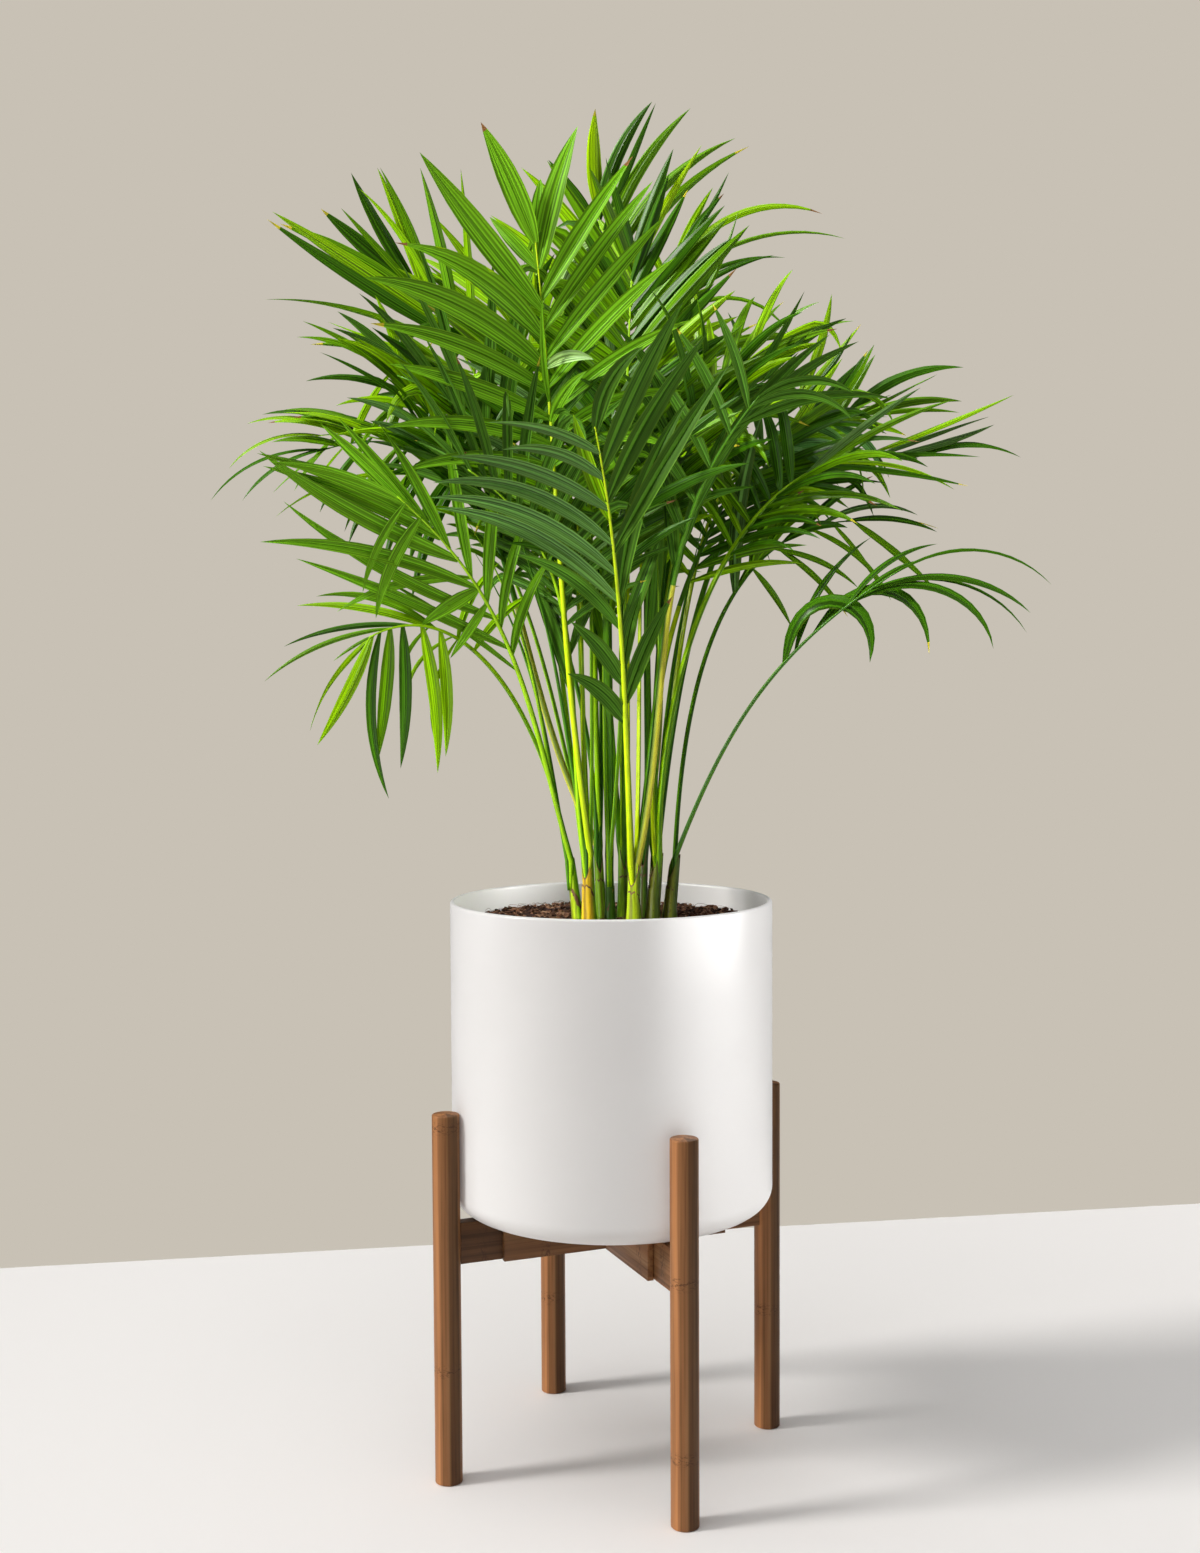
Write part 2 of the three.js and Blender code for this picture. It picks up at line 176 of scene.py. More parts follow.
def addRange(tree, value, low, high, newLow, newHigh):
    node = addNode(
        tree, "ShaderNodeMapRange",
        Value=value, From_Min=low, From_Max=high, To_Min=newLow, To_Max=newHigh,
    )
    return node.outputs["Result"]


def addMath(tree, operation, *values):
    node = addNode(tree, "ShaderNodeMath", {"operation": operation})
    for socket, value in zip(node.inputs, values):
        feed(tree, socket, value)
    return node.outputs[0]


def addAxis(tree, vector, axis):
    return addNode(tree, "ShaderNodeSeparateXYZ", Vector=vector).outputs[axis]


def addMargin(tree, place):
    # how far a point lies from the nearer edge, 0 to 0.5
    return addMath(tree, "PINGPONG", addAxis(tree, place, "Y"), 0.5)


def setFinish(tree, shader, tone, roughness, gloss, height, strength, distance):
    bump = addNode(tree, "ShaderNodeBump", Height=height, Strength=strength, Distance=distance)
    feed(tree, shader.inputs["Base Color"], tone)
    feed(tree, shader.inputs["Roughness"], roughness)
    feed(tree, shader.inputs["Specular IOR Level"], gloss)
    feed(tree, shader.inputs["Normal"], bump.outputs["Normal"])


def scaled(colour, share):
    return tuple(min(1, part * share) for part in colour)


# Helpers for pieces

pieces = []


def addObject(name, mesh, materials, nodes, slot):
    piece = bpy.data.objects.new(name, mesh)
    piece["part"] = slot
    pieces.append(piece)
    bpy.context.scene.collection.objects.link(piece)
    for material in materials:
        mesh.materials.append(material)
    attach(piece, "root")
    if nodes:
        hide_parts(*nodes)


def finishBmesh(bm, name, smoothAngle=40):
    bmesh.ops.recalc_face_normals(bm, faces=bm.faces[:])
    mesh = bpy.data.meshes.new(name)
    for face in bm.faces:
        face.smooth = True
    for edge in bm.edges:
        if len(edge.link_faces) == 2 and edge.calc_face_angle() > math.radians(smoothAngle):
            edge.smooth = False
    bm.to_mesh(mesh)
    bm.free()
    return mesh


def arcPoints(centreX, centreZ, radius, start, end, steps):
    turns = [math.radians(start + (end - start) * i / steps) for i in range(steps + 1)]
    return [(centreX + radius * math.cos(t), centreZ + radius * math.sin(t)) for t in turns]


def turnedBmesh(outline, steps, centre):
    bm = bmesh.new()
    verts = [bm.verts.new((centre.x + x, centre.y, centre.z + z)) for x, z in outline]
    edges = [bm.edges.new(pair) for pair in zip(verts, verts[1:])]
    bmesh.ops.spin(
        bm, geom=verts + edges, cent=centre, axis=(0, 0, 1), angle=2 * math.pi,
        steps=steps, use_merge=True, use_duplicate=False,
    )
    bmesh.ops.remove_doubles(bm, verts=bm.verts[:], dist=1e-6)
    return bm


# Pot

potStyle = {
    "radius": 0.150,
    "bottom": potLow.z,
    "rim": potHigh.z,
    "wall": 0.005,
    "floor": 0.009,
    "corner": 0.020,
    "cornerSteps": (12, 8),  # outside and inside
    "lipSteps": 10,
    "foot": 0.0012,
    "footReach": (2.2, 2.1),  # the hollow below and its ring, in corners from the side
    "steps": 192,
    "colour": (0.765, 0.751, 0.741),
    # a paler glaze for the inner wall and floor: painted light, lighter than the outer glaze to stand in for
    # light that the crown's shade keeps off them
    "inside": (0.92, 0.90, 0.88),
    "roughness": 0.30,
    "uneven": 0.015,
    "gloss": 0.45,
}


def makePotMaterial(name, colour):
    s = potStyle
    material, tree, shader = newMaterial(name)
    place = objectPlace(tree)
    cloud = addNoise(tree, place, 9, 3)
    tone = addRamp(tree, cloud, [(0.3, scaled(colour, 0.985)), (0.7, scaled(colour, 1.01))])
    patches = addNoise(tree, place, 24, 2, 0.6)
    roughness = addRange(tree, patches, 0.3, 0.7, s["roughness"] - s["uneven"], s["roughness"] + s["uneven"])
    pores = addNoise(tree, place, 700, 2, 0.6)
    setFinish(tree, shader, tone, roughness, s["gloss"], pores, strength=0.12, distance=0.0002)
    return material


def makePot():
    s = potStyle
    radius, bottom, rim, corner = (s[key] for key in ("radius", "bottom", "rim", "corner"))
    inner, floor, lip = radius - s["wall"], bottom + s["floor"], s["wall"] / 2
    hollow, ring = (radius - share * corner for share in s["footReach"])
    outline = [(0, bottom + s["foot"]), (hollow, bottom + s["foot"]), (ring, bottom)]
    outline += arcPoints(radius - corner, bottom + corner, corner, -90, 0, s["cornerSteps"][0])
    outline += [(radius, bottom + (rim - bottom) * share) for share in (0.25, 0.5, 0.75)]
    outline += arcPoints(radius - lip, rim - lip, lip, 0, 180, s["lipSteps"])
    outline += arcPoints(inner - corner, floor + corner, corner, 0, -90, s["cornerSteps"][1])
    outline += [(0, floor)]
    bm = turnedBmesh(outline, s["steps"], potMiddle)
    # the inner wall and floor take the paler glaze, painted light
    for face in bm.faces:
        middle = face.calc_center_median()
        within = (middle - potMiddle).xy.length < inner + mm and middle.z > floor - mm
        face.material_index = int(within)
    glazes = [makePotMaterial("satinGlaze", s["colour"]), makePotMaterial("innerGlazePaintedLight", s["inside"])]
    addObject("pot_body", finishBmesh(bm, "pot_body"), glazes, ["pot"], "pot")


makePot()
print("pot turned")


# Potting soil: a rough bed with bark chips and fibres strewn on it

soilStyle = {
    "seed": 11,
    "radius": 0.1445,
    "depth": 0.012,
    "dip": 0.002,
    "steps": 96,
    "rings": 26,
    "relief": 0.0016,
    "lumpScale": 160,
    "chips": 3400,
    "chipMargin": 0.004,
    "chipLength": (0.0018, 0.0072),
    "chipWidth": (0.3, 0.75),  # shares of the length, as the height is
    "chipHeight": (0.12, 0.4),
    "chipRise": (-0.0006, 0.0026),
    "fibres": 420,
    "fibreMargin": 0.012,
    "fibreLength": (0.006, 0.020),
    "fibreRadius": 0.00018,
    "browns": [(0.030, 0.013, 0.008), (0.075, 0.031, 0.016), (0.150, 0.066, 0.034), (0.30, 0.17, 0.10)],
    "shares": [0.34, 0.34, 0.24, 0.08],
}


def makeSoilMaterial(name, colour):
    material, tree, shader = newMaterial(name)
    grain = addNoise(tree, objectPlace(tree), 900, 3, 0.65)
    tone = addRamp(tree, grain, [(0.25, scaled(colour, 0.55)), (0.75, scaled(colour, 1.45))])
    setFinish(tree, shader, tone, 0.85, 0.25, grain, strength=0.5, distance=0.0006)
    return material


class Pile:
    # gathers many small shapes and makes one mesh of them
    def __init__(self):
        self.points, self.faces, self.shades, self.places = [], [], [], []
        self.count = 0

    def add(self, points, faces, shades, places=None):
        self.points.append(np.asarray(points, float))
        self.faces += [tuple(i + self.count for i in face) for face in faces]
        self.shades += list(shades)
        if places is not None:
            self.places += [places[i] for face in faces for i in face]
        self.count += len(points)

    def triangles(self):
        return sum(len(face) - 2 for face in self.faces)

    def makeMesh(self, name, smooth=True):
        mesh = bpy.data.meshes.new(name)
        mesh.from_pydata(np.concatenate(self.points).tolist(), [], self.faces)
        mesh.polygons.foreach_set("material_index", self.shades)
        mesh.polygons.foreach_set("use_smooth", [smooth] * len(self.faces))
        if self.places:
            layer = mesh.uv_layers.new(name="leafPlace")
            layer.data.foreach_set("uv", np.asarray(self.places, float).ravel())
        mesh.update()
        return mesh


def tubeFaces(rows, sides):
    # the faces of a tube of rings, foot first, and of its two ends
    faces = []
    for row in range(rows - 1):
        for k in range(sides):
            low, beside = row * sides + k, row * sides + (k + 1) % sides
            faces.append((low, beside, beside + sides, low + sides))
    return faces + [tuple(reversed(range(sides))), tuple(range((rows - 1) * sides, rows * sides))]


chipFaces = [(0, 3, 2, 1), (4, 5, 6, 7), (0, 1, 5, 4), (1, 2, 6, 5), (2, 3, 7, 6), (3, 0, 4, 7)]
chipCorners = np.array([(x, y, z) for z in (-1, 1) for x, y in ((-1, -1), (1, -1), (1, 1), (-1, 1))], float)


def strewnPlace(random, radius):
    reach, turn = radius * math.sqrt(random.random()), random.random() * 2 * math.pi
    return reach, potMiddle.x + reach * math.cos(turn), potMiddle.y + reach * math.sin(turn)


def addChip(pile, random):
    s = soilStyle
    reach, x, y = strewnPlace(random, s["radius"] - s["chipMargin"])
    length = random.uniform(*s["chipLength"])
    half = length * np.array([1, random.uniform(*s["chipWidth"]), random.uniform(*s["chipHeight"])]) / 2
    corners = chipCorners * (1 + 0.5 * (random.random((8, 3)) - 0.5)) * half
    spin = Matrix.Rotation(random.random() * 2 * math.pi, 3, "Z")
    tip = Matrix.Rotation(random.normal(0, 0.5), 3, "X") @ Matrix.Rotation(random.normal(0, 0.4), 3, "Y")
    z = soilTop + random.uniform(*s["chipRise"]) - s["dip"] * (reach / s["radius"]) ** 4
    shade = int(random.choice(len(s["browns"]), p=s["shares"]))
    pile.add(corners @ np.array(spin @ tip).T + np.array([x, y, z]), chipFaces, [shade] * len(chipFaces))


def addFibre(pile, random):
    s = soilStyle
    rows, sides = 5, 3
    reach, x, y = strewnPlace(random, s["radius"] - s["fibreMargin"])
    way = random.random() * 2 * math.pi
    length, curl = random.uniform(*s["fibreLength"]), random.normal(0, 1.2)
    points = []
    for row in range(rows):
        share = row / (rows - 1)
        bend = way + curl * share
        z = soilTop + 0.0018 + 0.0025 * math.sin(math.pi * share)
        for k in range(sides):
            angle = k * 2 * math.pi / sides
            wide, tall = s["fibreRadius"] * math.cos(angle), s["fibreRadius"] * math.sin(angle)
            points.append((
                x + length * share * math.cos(bend) - wide * math.sin(bend),
                y + length * share * math.sin(bend) + wide * math.cos(bend),
                z + tall,
            ))
    faces = tubeFaces(rows, sides)
    pile.add(points, faces, [3 if random.random() < 0.5 else 2] * len(faces))


def makeSoil():
    s = soilStyle
    random = np.random.default_rng(s["seed"])
    materials = [makeSoilMaterial("bark" + str(i + 1), brown) for i, brown in enumerate(s["browns"])]
    outline = [(0, soilTop - s["depth"]), (s["radius"], soilTop - s["depth"])]
    outline += [(s["radius"] * (1 - i / s["rings"]), soilTop) for i in range(s["rings"] + 1)]
    bm = turnedBmesh(outline, s["steps"], potMiddle)
    for vert in bm.verts:
        if vert.co.z > soilTop - mm:
            lump = noise.fractal(vert.co * s["lumpScale"], 0.8, 2.0, 4)
            reach = (vert.co - potMiddle).xy.length / s["radius"]
            vert.co.z += s["relief"] * lump - s["dip"] * reach ** 4
    addObject("soil_bed", finishBmesh(bm, "soil_bed", 180), [materials[0]], ["soil"], "soil")
    pile = Pile()
    for _ in range(s["chips"]):
        addChip(pile, random)
    for _ in range(s["fibres"]):
        addFibre(pile, random)
    addObject("soil_chips", pile.makeMesh("soil_chips", False), materials, [], "soil")
    print("soil strewn,", pile.triangles(), "triangles of bark")


makeSoil()


# Stand: round bamboo legs and two crossed sliding rails, stained walnut brown

standStyle = {
    "legs": ("front", "right", "back", "left"),
    "pairs": ("front_back", "left_right"),
    "turn": math.radians(-67.8),
    "chamfer": 0.0014,
    "legSteps": 72,
    "railEdge": 0.0006,
    "dark": (0.060, 0.023, 0.010),
    "brown": (0.365, 0.162, 0.063),
    "light": (0.600, 0.320, 0.135),
    "strips": [  # shares of the way round a leg, and how light it is there: tone strips of the wood with painted light and shade, lighter on the front left towards the key light and darkest on the front right away from it
        (0.0, 1.0), (0.06, 1.3), (0.17, 1.25), (0.20, 0.85), (0.27, 0.75), (0.30, 0.34), (0.41, 0.30),
        (0.44, 0.65), (0.55, 0.95), (0.66, 0.6), (0.78, 0.85), (0.9, 0.75), (1.0, 1.0),
    ],
    "legKnots": {
        "front": (0.216, 0.062), "right": (0.118, 0.27), "back": (0.1, 0.3), "left": (0.328, 0.106),
    },
    "railKnots": {"sleeve": (0.093, -0.071), "slide": (0.13,)},
    # painted shade: each rail's brown is darkened by how deep in shade the rail lies
    "railPaintedShade": {
        "front_back": 0.75, "left_right": 0.5, "front": 0.75, "right": 0.6, "back": 0.6, "left": 0.33,
    },
    "roughness": 0.45,
    "gloss": 0.22,
}


def makeBambooMaterial(name, centre, turn, standing, knots, shade=1):
    s = standStyle
    material, tree, shader = newMaterial(name)
    local = addStretch(tree, objectPlace(tree), (1, 1, 1), centre, (0, 0, turn), "TEXTURE")

    def grain(across, along, *finer):
        stretch = (across, across, along) if standing else (along, across, across)
        return addGrain(tree, local, stretch, *finer)

    fibre = grain(330, 5, 3, 0.65)
    band = grain(70, 1.6)
    crumb = grain(170, 420, 2, 0.6, 1.5)
    # shade scales the browns down: painted shade on the rails, 1 on the legs
    brown, light = scaled(s["brown"], shade), scaled(s["light"], shade)
    tone = addRamp(tree, band, [(0.25, scaled(brown, 0.62)), (0.5, brown), (0.78, scaled(light, 0.85))])
    streak = addRamp(tree, fibre, [(0.30, (0.45, 0.42, 0.40)), (0.52, (1, 1, 1)), (0.75, (1.25, 1.2, 1.15))])
    colour = addMix(tree, 0.75, tone, streak, "MULTIPLY")
    # painted light and shade round each leg: strips of tone that lighten the side towards the key light and
    # darken the front right
    if standing:
        around = addNode(tree, "ShaderNodeTexGradient", {"gradient_type": "RADIAL"}, Vector=local)
        strips = [(place, (dim, dim * 0.97, dim * 0.93)) for place, dim in s["strips"]]
        colour = addMix(tree, 1.0, colour, addRamp(tree, around.outputs["Fac"], strips), "MULTIPLY")
    height = addAxis(tree, local, "Z" if standing else "X")
    for knot in knots:
        away = addMath(tree, "ABSOLUTE", addMath(tree, "SUBTRACT", height, knot))
        near = addRange(tree, away, 0.002, 0.008, 1, 0)
        rough = addRange(tree, crumb, 0.53, 0.6, 0, 0.7)
        colour = addMix(tree, addMath(tree, "MULTIPLY", near, rough), colour, s["dark"])
    roughness = addRange(tree, fibre, 0.3, 0.7, s["roughness"] + 0.1, s["roughness"] - 0.06)
    setFinish(tree, shader, colour, roughness, s["gloss"], fibre, strength=0.25, distance=0.0003)
    return material


def makeLegs():
    s = standStyle
    edge = s["chamfer"]
    for name in s["legs"]:
        low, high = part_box("leg_" + name)
        radius = (high.x - low.x) / 2
        centre = Vector(((low.x + high.x) / 2, (low.y + high.y) / 2, 0))
        outline = [(0, low.z), (radius - edge / 2, low.z), (radius, low.z + edge / 2)]
        outline += [(radius, high.z * share) for share in (0.25, 0.5, 0.75)]
        outline += arcPoints(radius - edge, high.z - edge, edge, 0, 90, 4)
        outline += [(0, high.z)]
        mesh = finishBmesh(turnedBmesh(outline, s["legSteps"], centre), "leg_" + name)
        material = makeBambooMaterial("bambooLeg_" + name, centre, 0, True, s["legKnots"][name])
        addObject("leg_" + name + "_pole", mesh, [material], ["leg_" + name], "stand_wood")


def dressNode(node, pieceName, material):
    # the node's own shape with its edges softened
    bm = bmesh.new()
    bm.from_mesh(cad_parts[node].data)
    bmesh.ops.remove_doubles(bm, verts=bm.verts[:], dist=2e-5)
    bmesh.ops.dissolve_limit(bm, angle_limit=math.radians(1), verts=bm.verts[:], edges=bm.edges[:])
    sharp = [e for e in bm.edges if len(e.link_faces) == 2 and e.calc_face_angle() > math.radians(35)]
    bmesh.ops.bevel(
        bm, geom=sharp, offset=standStyle["railEdge"], affect="EDGES", segments=2, profile=0.5,
        material=-1, clamp_overlap=True,
    )
    bmesh.ops.triangulate(bm, faces=[face for face in bm.faces if len(face.verts) > 4])
    addObject(pieceName, finishBmesh(bm, pieceName, 30), [material], [node], "stand_wood")


def makeRails():
    s = standStyle
    for kind, names, label in (("sleeve", s["pairs"], "rail_{}"), ("slide", s["legs"], "slide_{}_bar")):
        for index, name in enumerate(names):
            wood = "bamboo" + kind.capitalize() + "_" + name
            turn = s["turn"] + index * math.pi / 2
            # each rail's wood is a darker copy of the brown, painted shade
            knots, shade = s["railKnots"][kind], s["railPaintedShade"][name]
            material = makeBambooMaterial(wood, potMiddle, turn, False, knots, shade)
            dressNode(kind + "_" + name, label.format(name), material)


makeLegs()
makeRails()
print("stand built")


# The plant's growing rule, the same as in the solids: sizes in millimetres, angles in degrees

# name, x, y, radius, height above the soil, compass angle and degrees of the lean
canes = [
    ("cane_01", -30, -6, 4.6, 58, 200, 8),
    ("cane_02", -20, -23, 5.8, 66, 250, 4),
    ("cane_03", -9, 6, 4.6, 70, 150, 3),
    ("cane_04", -1, -13, 4.2, 62, 265, 4),
    ("cane_05", 11, 10, 4.4, 74, 90, 3),
    ("cane_06", 21, -26, 6, 56, 275, 4),
    ("cane_07", 29, 5, 4.6, 78, 60, 3),
    ("cane_08", 38, -17, 6, 62, 330, 5),
    ("cane_09", 54, -6, 5.8, 60, 0, 5),
    ("cane_10", -20, 26, 5.2, 72, 150, 4),
    ("cane_11", 14, 36, 5.6, 76, 95, 4),
    ("cane_12", 40, 26, 5.2, 72, 50, 4),
]

# name, cane, compass angle, reach, rise, lean at the foot and at the tip, sway, leaflet length
# and width, leaflet pairs, bare share, roll, sag, and how light its green is from 0 to 1, partly
# the frond's own green and partly painted light and shade: lighter for the lit fronds at the top,
# darker for those deep in the crown
fronds = [
    ("frond_01", "cane_02", 242, 65, 553, 16, 8, -17, 172, 20, 11, 0.56, 0, 0.15, 0.95),
    ("frond_02", "cane_06", 260, 171, 374, 11, 51, 0, 175, 14, 11, 0.38, 0, 0.3, 0.12),
    ("frond_03", "cane_10", 150, 180, 540, 8, 42, 16, 190, 18, 11, 0.53, -30, 0.15, 0.55),
    ("frond_04", "cane_11", 110, 100, 620, 24, 20, -15, 158, 16, 12, 0.55, 10, 0.2, 0.6),
    ("frond_05", "cane_01", 214, 181, 325, 18, 55, 8, 180, 13, 10, 0.44, 48, 0.3, 0.86),
    ("frond_06", "cane_09", -20, 212, 262, 22, 60, 0, 145, 11, 7, 0.6, 20, 1.5, 0.25),
    ("frond_07", "cane_01", 204, 192, 205, 8, 118, 8, 150, 12, 8, 0.58, -75, 2.6, 0.5),
    ("frond_08", "cane_08", 14, 262, 372, -1, 100, 18, 150, 12, 12, 0.52, 30, 0.8, 0.35),
    ("frond_09", "cane_12", 34, 270, 420, 8, 87, -12, 150, 12, 12, 0.52, 35, 0.7, 0.45),
    ("frond_10", "cane_03", 177, 262, 372, 0, 108, -20, 140, 10, 13, 0.48, -10, 0.8, 0.55),
    ("frond_11", "cane_12", 78, 205, 585, -12, 50, 15, 170, 13, 12, 0.52, 25, 0.9, 0.48),
    ("frond_12", "cane_08", 43, 235, 448, -6, 50, 30, 160, 13, 12, 0.5, 30, 0.5, 0.42),
    ("frond_13", "cane_09", 18, 189, 316, 3, 88, 6, 140, 11, 10, 0.55, 30, 0.9, 0.3),
    ("frond_14", "cane_03", 171, 196, 448, 27, 45, 0, 145, 11, 13, 0.52, -25, 0.5, 0.5),
    ("frond_15", "cane_04", 80, 60, 440, 6, 50, 0, 165, 14, 11, 0.52, 0, 0.3, 0.35),
    ("frond_16", "cane_06", 318, 140, 410, 16, 50, 0, 160, 13, 10, 0.6, -20, 0.4, 0.2),
    ("frond_17", "cane_02", 205, 110, 345, 8, 60, 0, 150, 12, 11, 0.5, 25, 0.5, 0.4),
    ("frond_18", "cane_02", 172, 175, 440, 8, 70, 0, 160, 13, 12, 0.5, 35, 0.5, 0.45),
    ("frond_19", "cane_07", -10, 125, 425, 4, 65, 0, 150, 13, 11, 0.52, -20, 0.6, 0.4),
    ("frond_20", "cane_05", 80, 60, 565, 0, 20, 0, 150, 16, 12, 0.56, 0, 0.2, 0.34),
    ("frond_21", "cane_10", 125, 150, 525, 6, 50, 0, 160, 15, 12, 0.52, -15, 0.3, 0.55),
    ("frond_22", "cane_11", 88, 230, 460, 8, 80, 0, 160, 13, 12, 0.5, 0, 0.5, 0.5),
    ("frond_23", "cane_10", 168, 265, 390, 12, 95, 0, 155, 12, 12, 0.48, 0, 0.7, 0.45),
    ("frond_24", "cane_12", 60, 275, 385, 12, 95, 0, 155, 12, 12, 0.48, 0, 0.7, 0.45),
    ("frond_25", "cane_05", 104, 225, 310, 14, 90, 0, 150, 12, 11, 0.48, 0, 0.7, 0.4),
    ("frond_26", "cane_07", 20, 110, 450, 16, 55, 0, 150, 13, 12, 0.54, 25, 0.6, 0.5),
]

growth = {
    "gap": 0.3,
    "footRadius": 2.7,
    "neckRadius": 2.1,
    "tipRadius": 0.7,
    "handle": 0.4,
    "swayEase": 0.45,
    "fork": 0.99,
    "stagger": 0.25,
    "basalSpread": 58,
    "tipSpread": 16,
    "spreadPower": 2.5,
    "lift": 18,
    "sagPower": 1.5,
    "longestPlace": 0.45,
    "basalLength": 0.62,
    "tipLength": 0.75,
    "spreadRange": 8,
    "liftRange": 12,
    "lengthRange": 0.34,
}
up = np.array([0.0, 0.0, 1.0])


def wobble(seed):
    value = math.sin(seed * 12.9898 + 4.1) * 43758.5453
    return value - math.floor(value)


def mixed(a, b, share):
    return a + (b - a) * share


def unit(vector):
    return vector / np.linalg.norm(vector)


def compassWay(degrees):
    return np.array([math.cos(math.radians(degrees)), math.sin(math.radians(degrees)), 0.0])


def caneTop(cane):
    name, x, y, radius, height, compass, lean = cane
    run = math.tan(math.radians(lean)) * height
    return np.array([x, y, soilTop / mm + height]) + compassWay(compass) * run


def seatOf(row):
    mates = sorted((other for other in fronds if other[1] == row[1]), key=lambda other: other[2])
    if len(mates) == 1:
        return np.zeros(3)
    mean = sum(other[2] for other in mates) / len(mates)
    turn = mean + (mates.index(row) - (len(mates) - 1) / 2) * (360 / len(mates))
    reach = (growth["footRadius"] + growth["gap"]) / math.sin(math.pi / len(mates))
    return compassWay(turn) * reach


class Frond:
    # one frond's curve and the facts that its leaflets need
    def __init__(self, row, index, seat=None):
        (self.name, cane, compass, reach, rise, lean, nod, sway, self.leaf, self.width,
         self.pairs, self.bare, self.roll, self.sag, self.tint) = row
        self.seed = (index + 1) * 97
        self.index = index
        self.cane = next(c for c in canes if c[0] == cane)
        self.out = compassWay(compass)
        self.side = np.array([-self.out[1], self.out[0], 0.0])
        foot = caneTop(self.cane) + (seatOf(row) if seat is None else seat) + up * growth["gap"]
        tip = foot + self.out * reach + up * rise + self.side * sway
        pull = math.hypot(reach, rise) * growth["handle"]
        lean, nod = math.radians(lean), math.radians(nod)
        start = foot + pull * (self.out * math.sin(lean) + up * math.cos(lean))
        end = tip - pull * (self.out * math.sin(nod) + up * math.cos(nod))
        end = end - self.side * growth["swayEase"] * sway
        self.knots = (foot, start, end, tip)

    def frameAt(self, share):
        a, b, c, d = self.knots
        rest = 1 - share
        point = rest**3 * a + 3 * rest**2 * share * b + 3 * rest * share**2 * c + share**3 * d
        along = unit(rest**2 * (b - a) + 2 * rest * share * (c - b) + share**2 * (d - c))
        level = unit(self.side - along * (self.side @ along))
        face = np.cross(along, level)
        ease = min(1, share / self.bare)
        roll = math.radians(self.roll) * ease * ease * (3 - 2 * ease)
        side = level * math.cos(roll) + face * math.sin(roll)
        above = face * math.cos(roll) - level * math.sin(roll)
        return point, along, side, above

    def radiusAt(self, share):
        if share < self.bare:
            return mixed(growth["footRadius"], growth["neckRadius"], share / self.bare)
        return mixed(growth["neckRadius"], growth["tipRadius"], (share - self.bare) / (1 - self.bare))

    def ribAt(self, place):
        # place runs from 0 to 1 over the leafy part
        return self.frameAt(self.bare + (growth["fork"] - self.bare) * place)


def lengthShare(place):
    g = growth
    if place < g["longestPlace"]:
        rise = math.sin(math.pi / 2 * place / g["longestPlace"])
        return g["basalLength"] + (1 - g["basalLength"]) * rise
    past = (place - g["longestPlace"]) / (1 - g["longestPlace"])
    return 1 - (1 - g["tipLength"]) * past**2


limbs = [Frond(row, index) for index, row in enumerate(fronds)]

# young, unopened leaves that stand between the stalks: cane, compass angle, reach, rise, lean at
# the foot and at the tip, stoutness and tone
shoots = [
    ("cane_01", 200, 110, 330, 14, 38, 1.0, "stalkLime"),
    ("cane_01", 190, 95, 300, 10, 34, 1.0, "stalkGreen"),
    ("cane_02", 178, 84, 350, 10, 24, 1.0, "stalkGreen"),
    ("cane_02", 185, 16, 420, 2, 6, 1.1, "stalkYellow"),
    ("cane_02", 10, 6, 380, 2, 3, 1.0, "stalkLime"),
    ("cane_03", 240, 22, 380, 4, 8, 1.1, "stalkLime"),
    ("cane_03", 20, 12, 400, 3, 6, 1.2, "stalkGreen"),
    ("cane_04", 80, 14, 360, 3, 5, 1.3, "stalkGreen"),
    ("cane_04", 180, 18, 380, 3, 8, 1.0, "stalkLime"),
    ("cane_04", 0, 26, 380, 6, 6, 1.0, "stalkLime"),
    ("cane_05", 300, 14, 400, 3, 6, 1.1, "stalkGreen"),
    ("cane_05", 200, 8, 430, 1, 4, 1.0, "stalkLime"),
    ("cane_06", 60, 24, 400, 4, 8, 0.9, "stalkYellow"),
    ("cane_06", 20, 60, 380, 8, 14, 1.2, "stalkGreen"),
    ("cane_08", 30, 60, 330, 4, 18, 1.2, "stalkGreen"),
    ("cane_08", 180, 4, 340, 1, 6, 0.9, "stalkLime"),
    ("cane_07", 20, 46, 420, 5, 12, 1.2, "stalkGreen"),
    ("cane_07", 0, 70, 400, 6, 22, 1.0, "stalkYellow"),
]


# Leaf stalks: yellow-green, rounded below and grooved above, one tapering limb for each frond

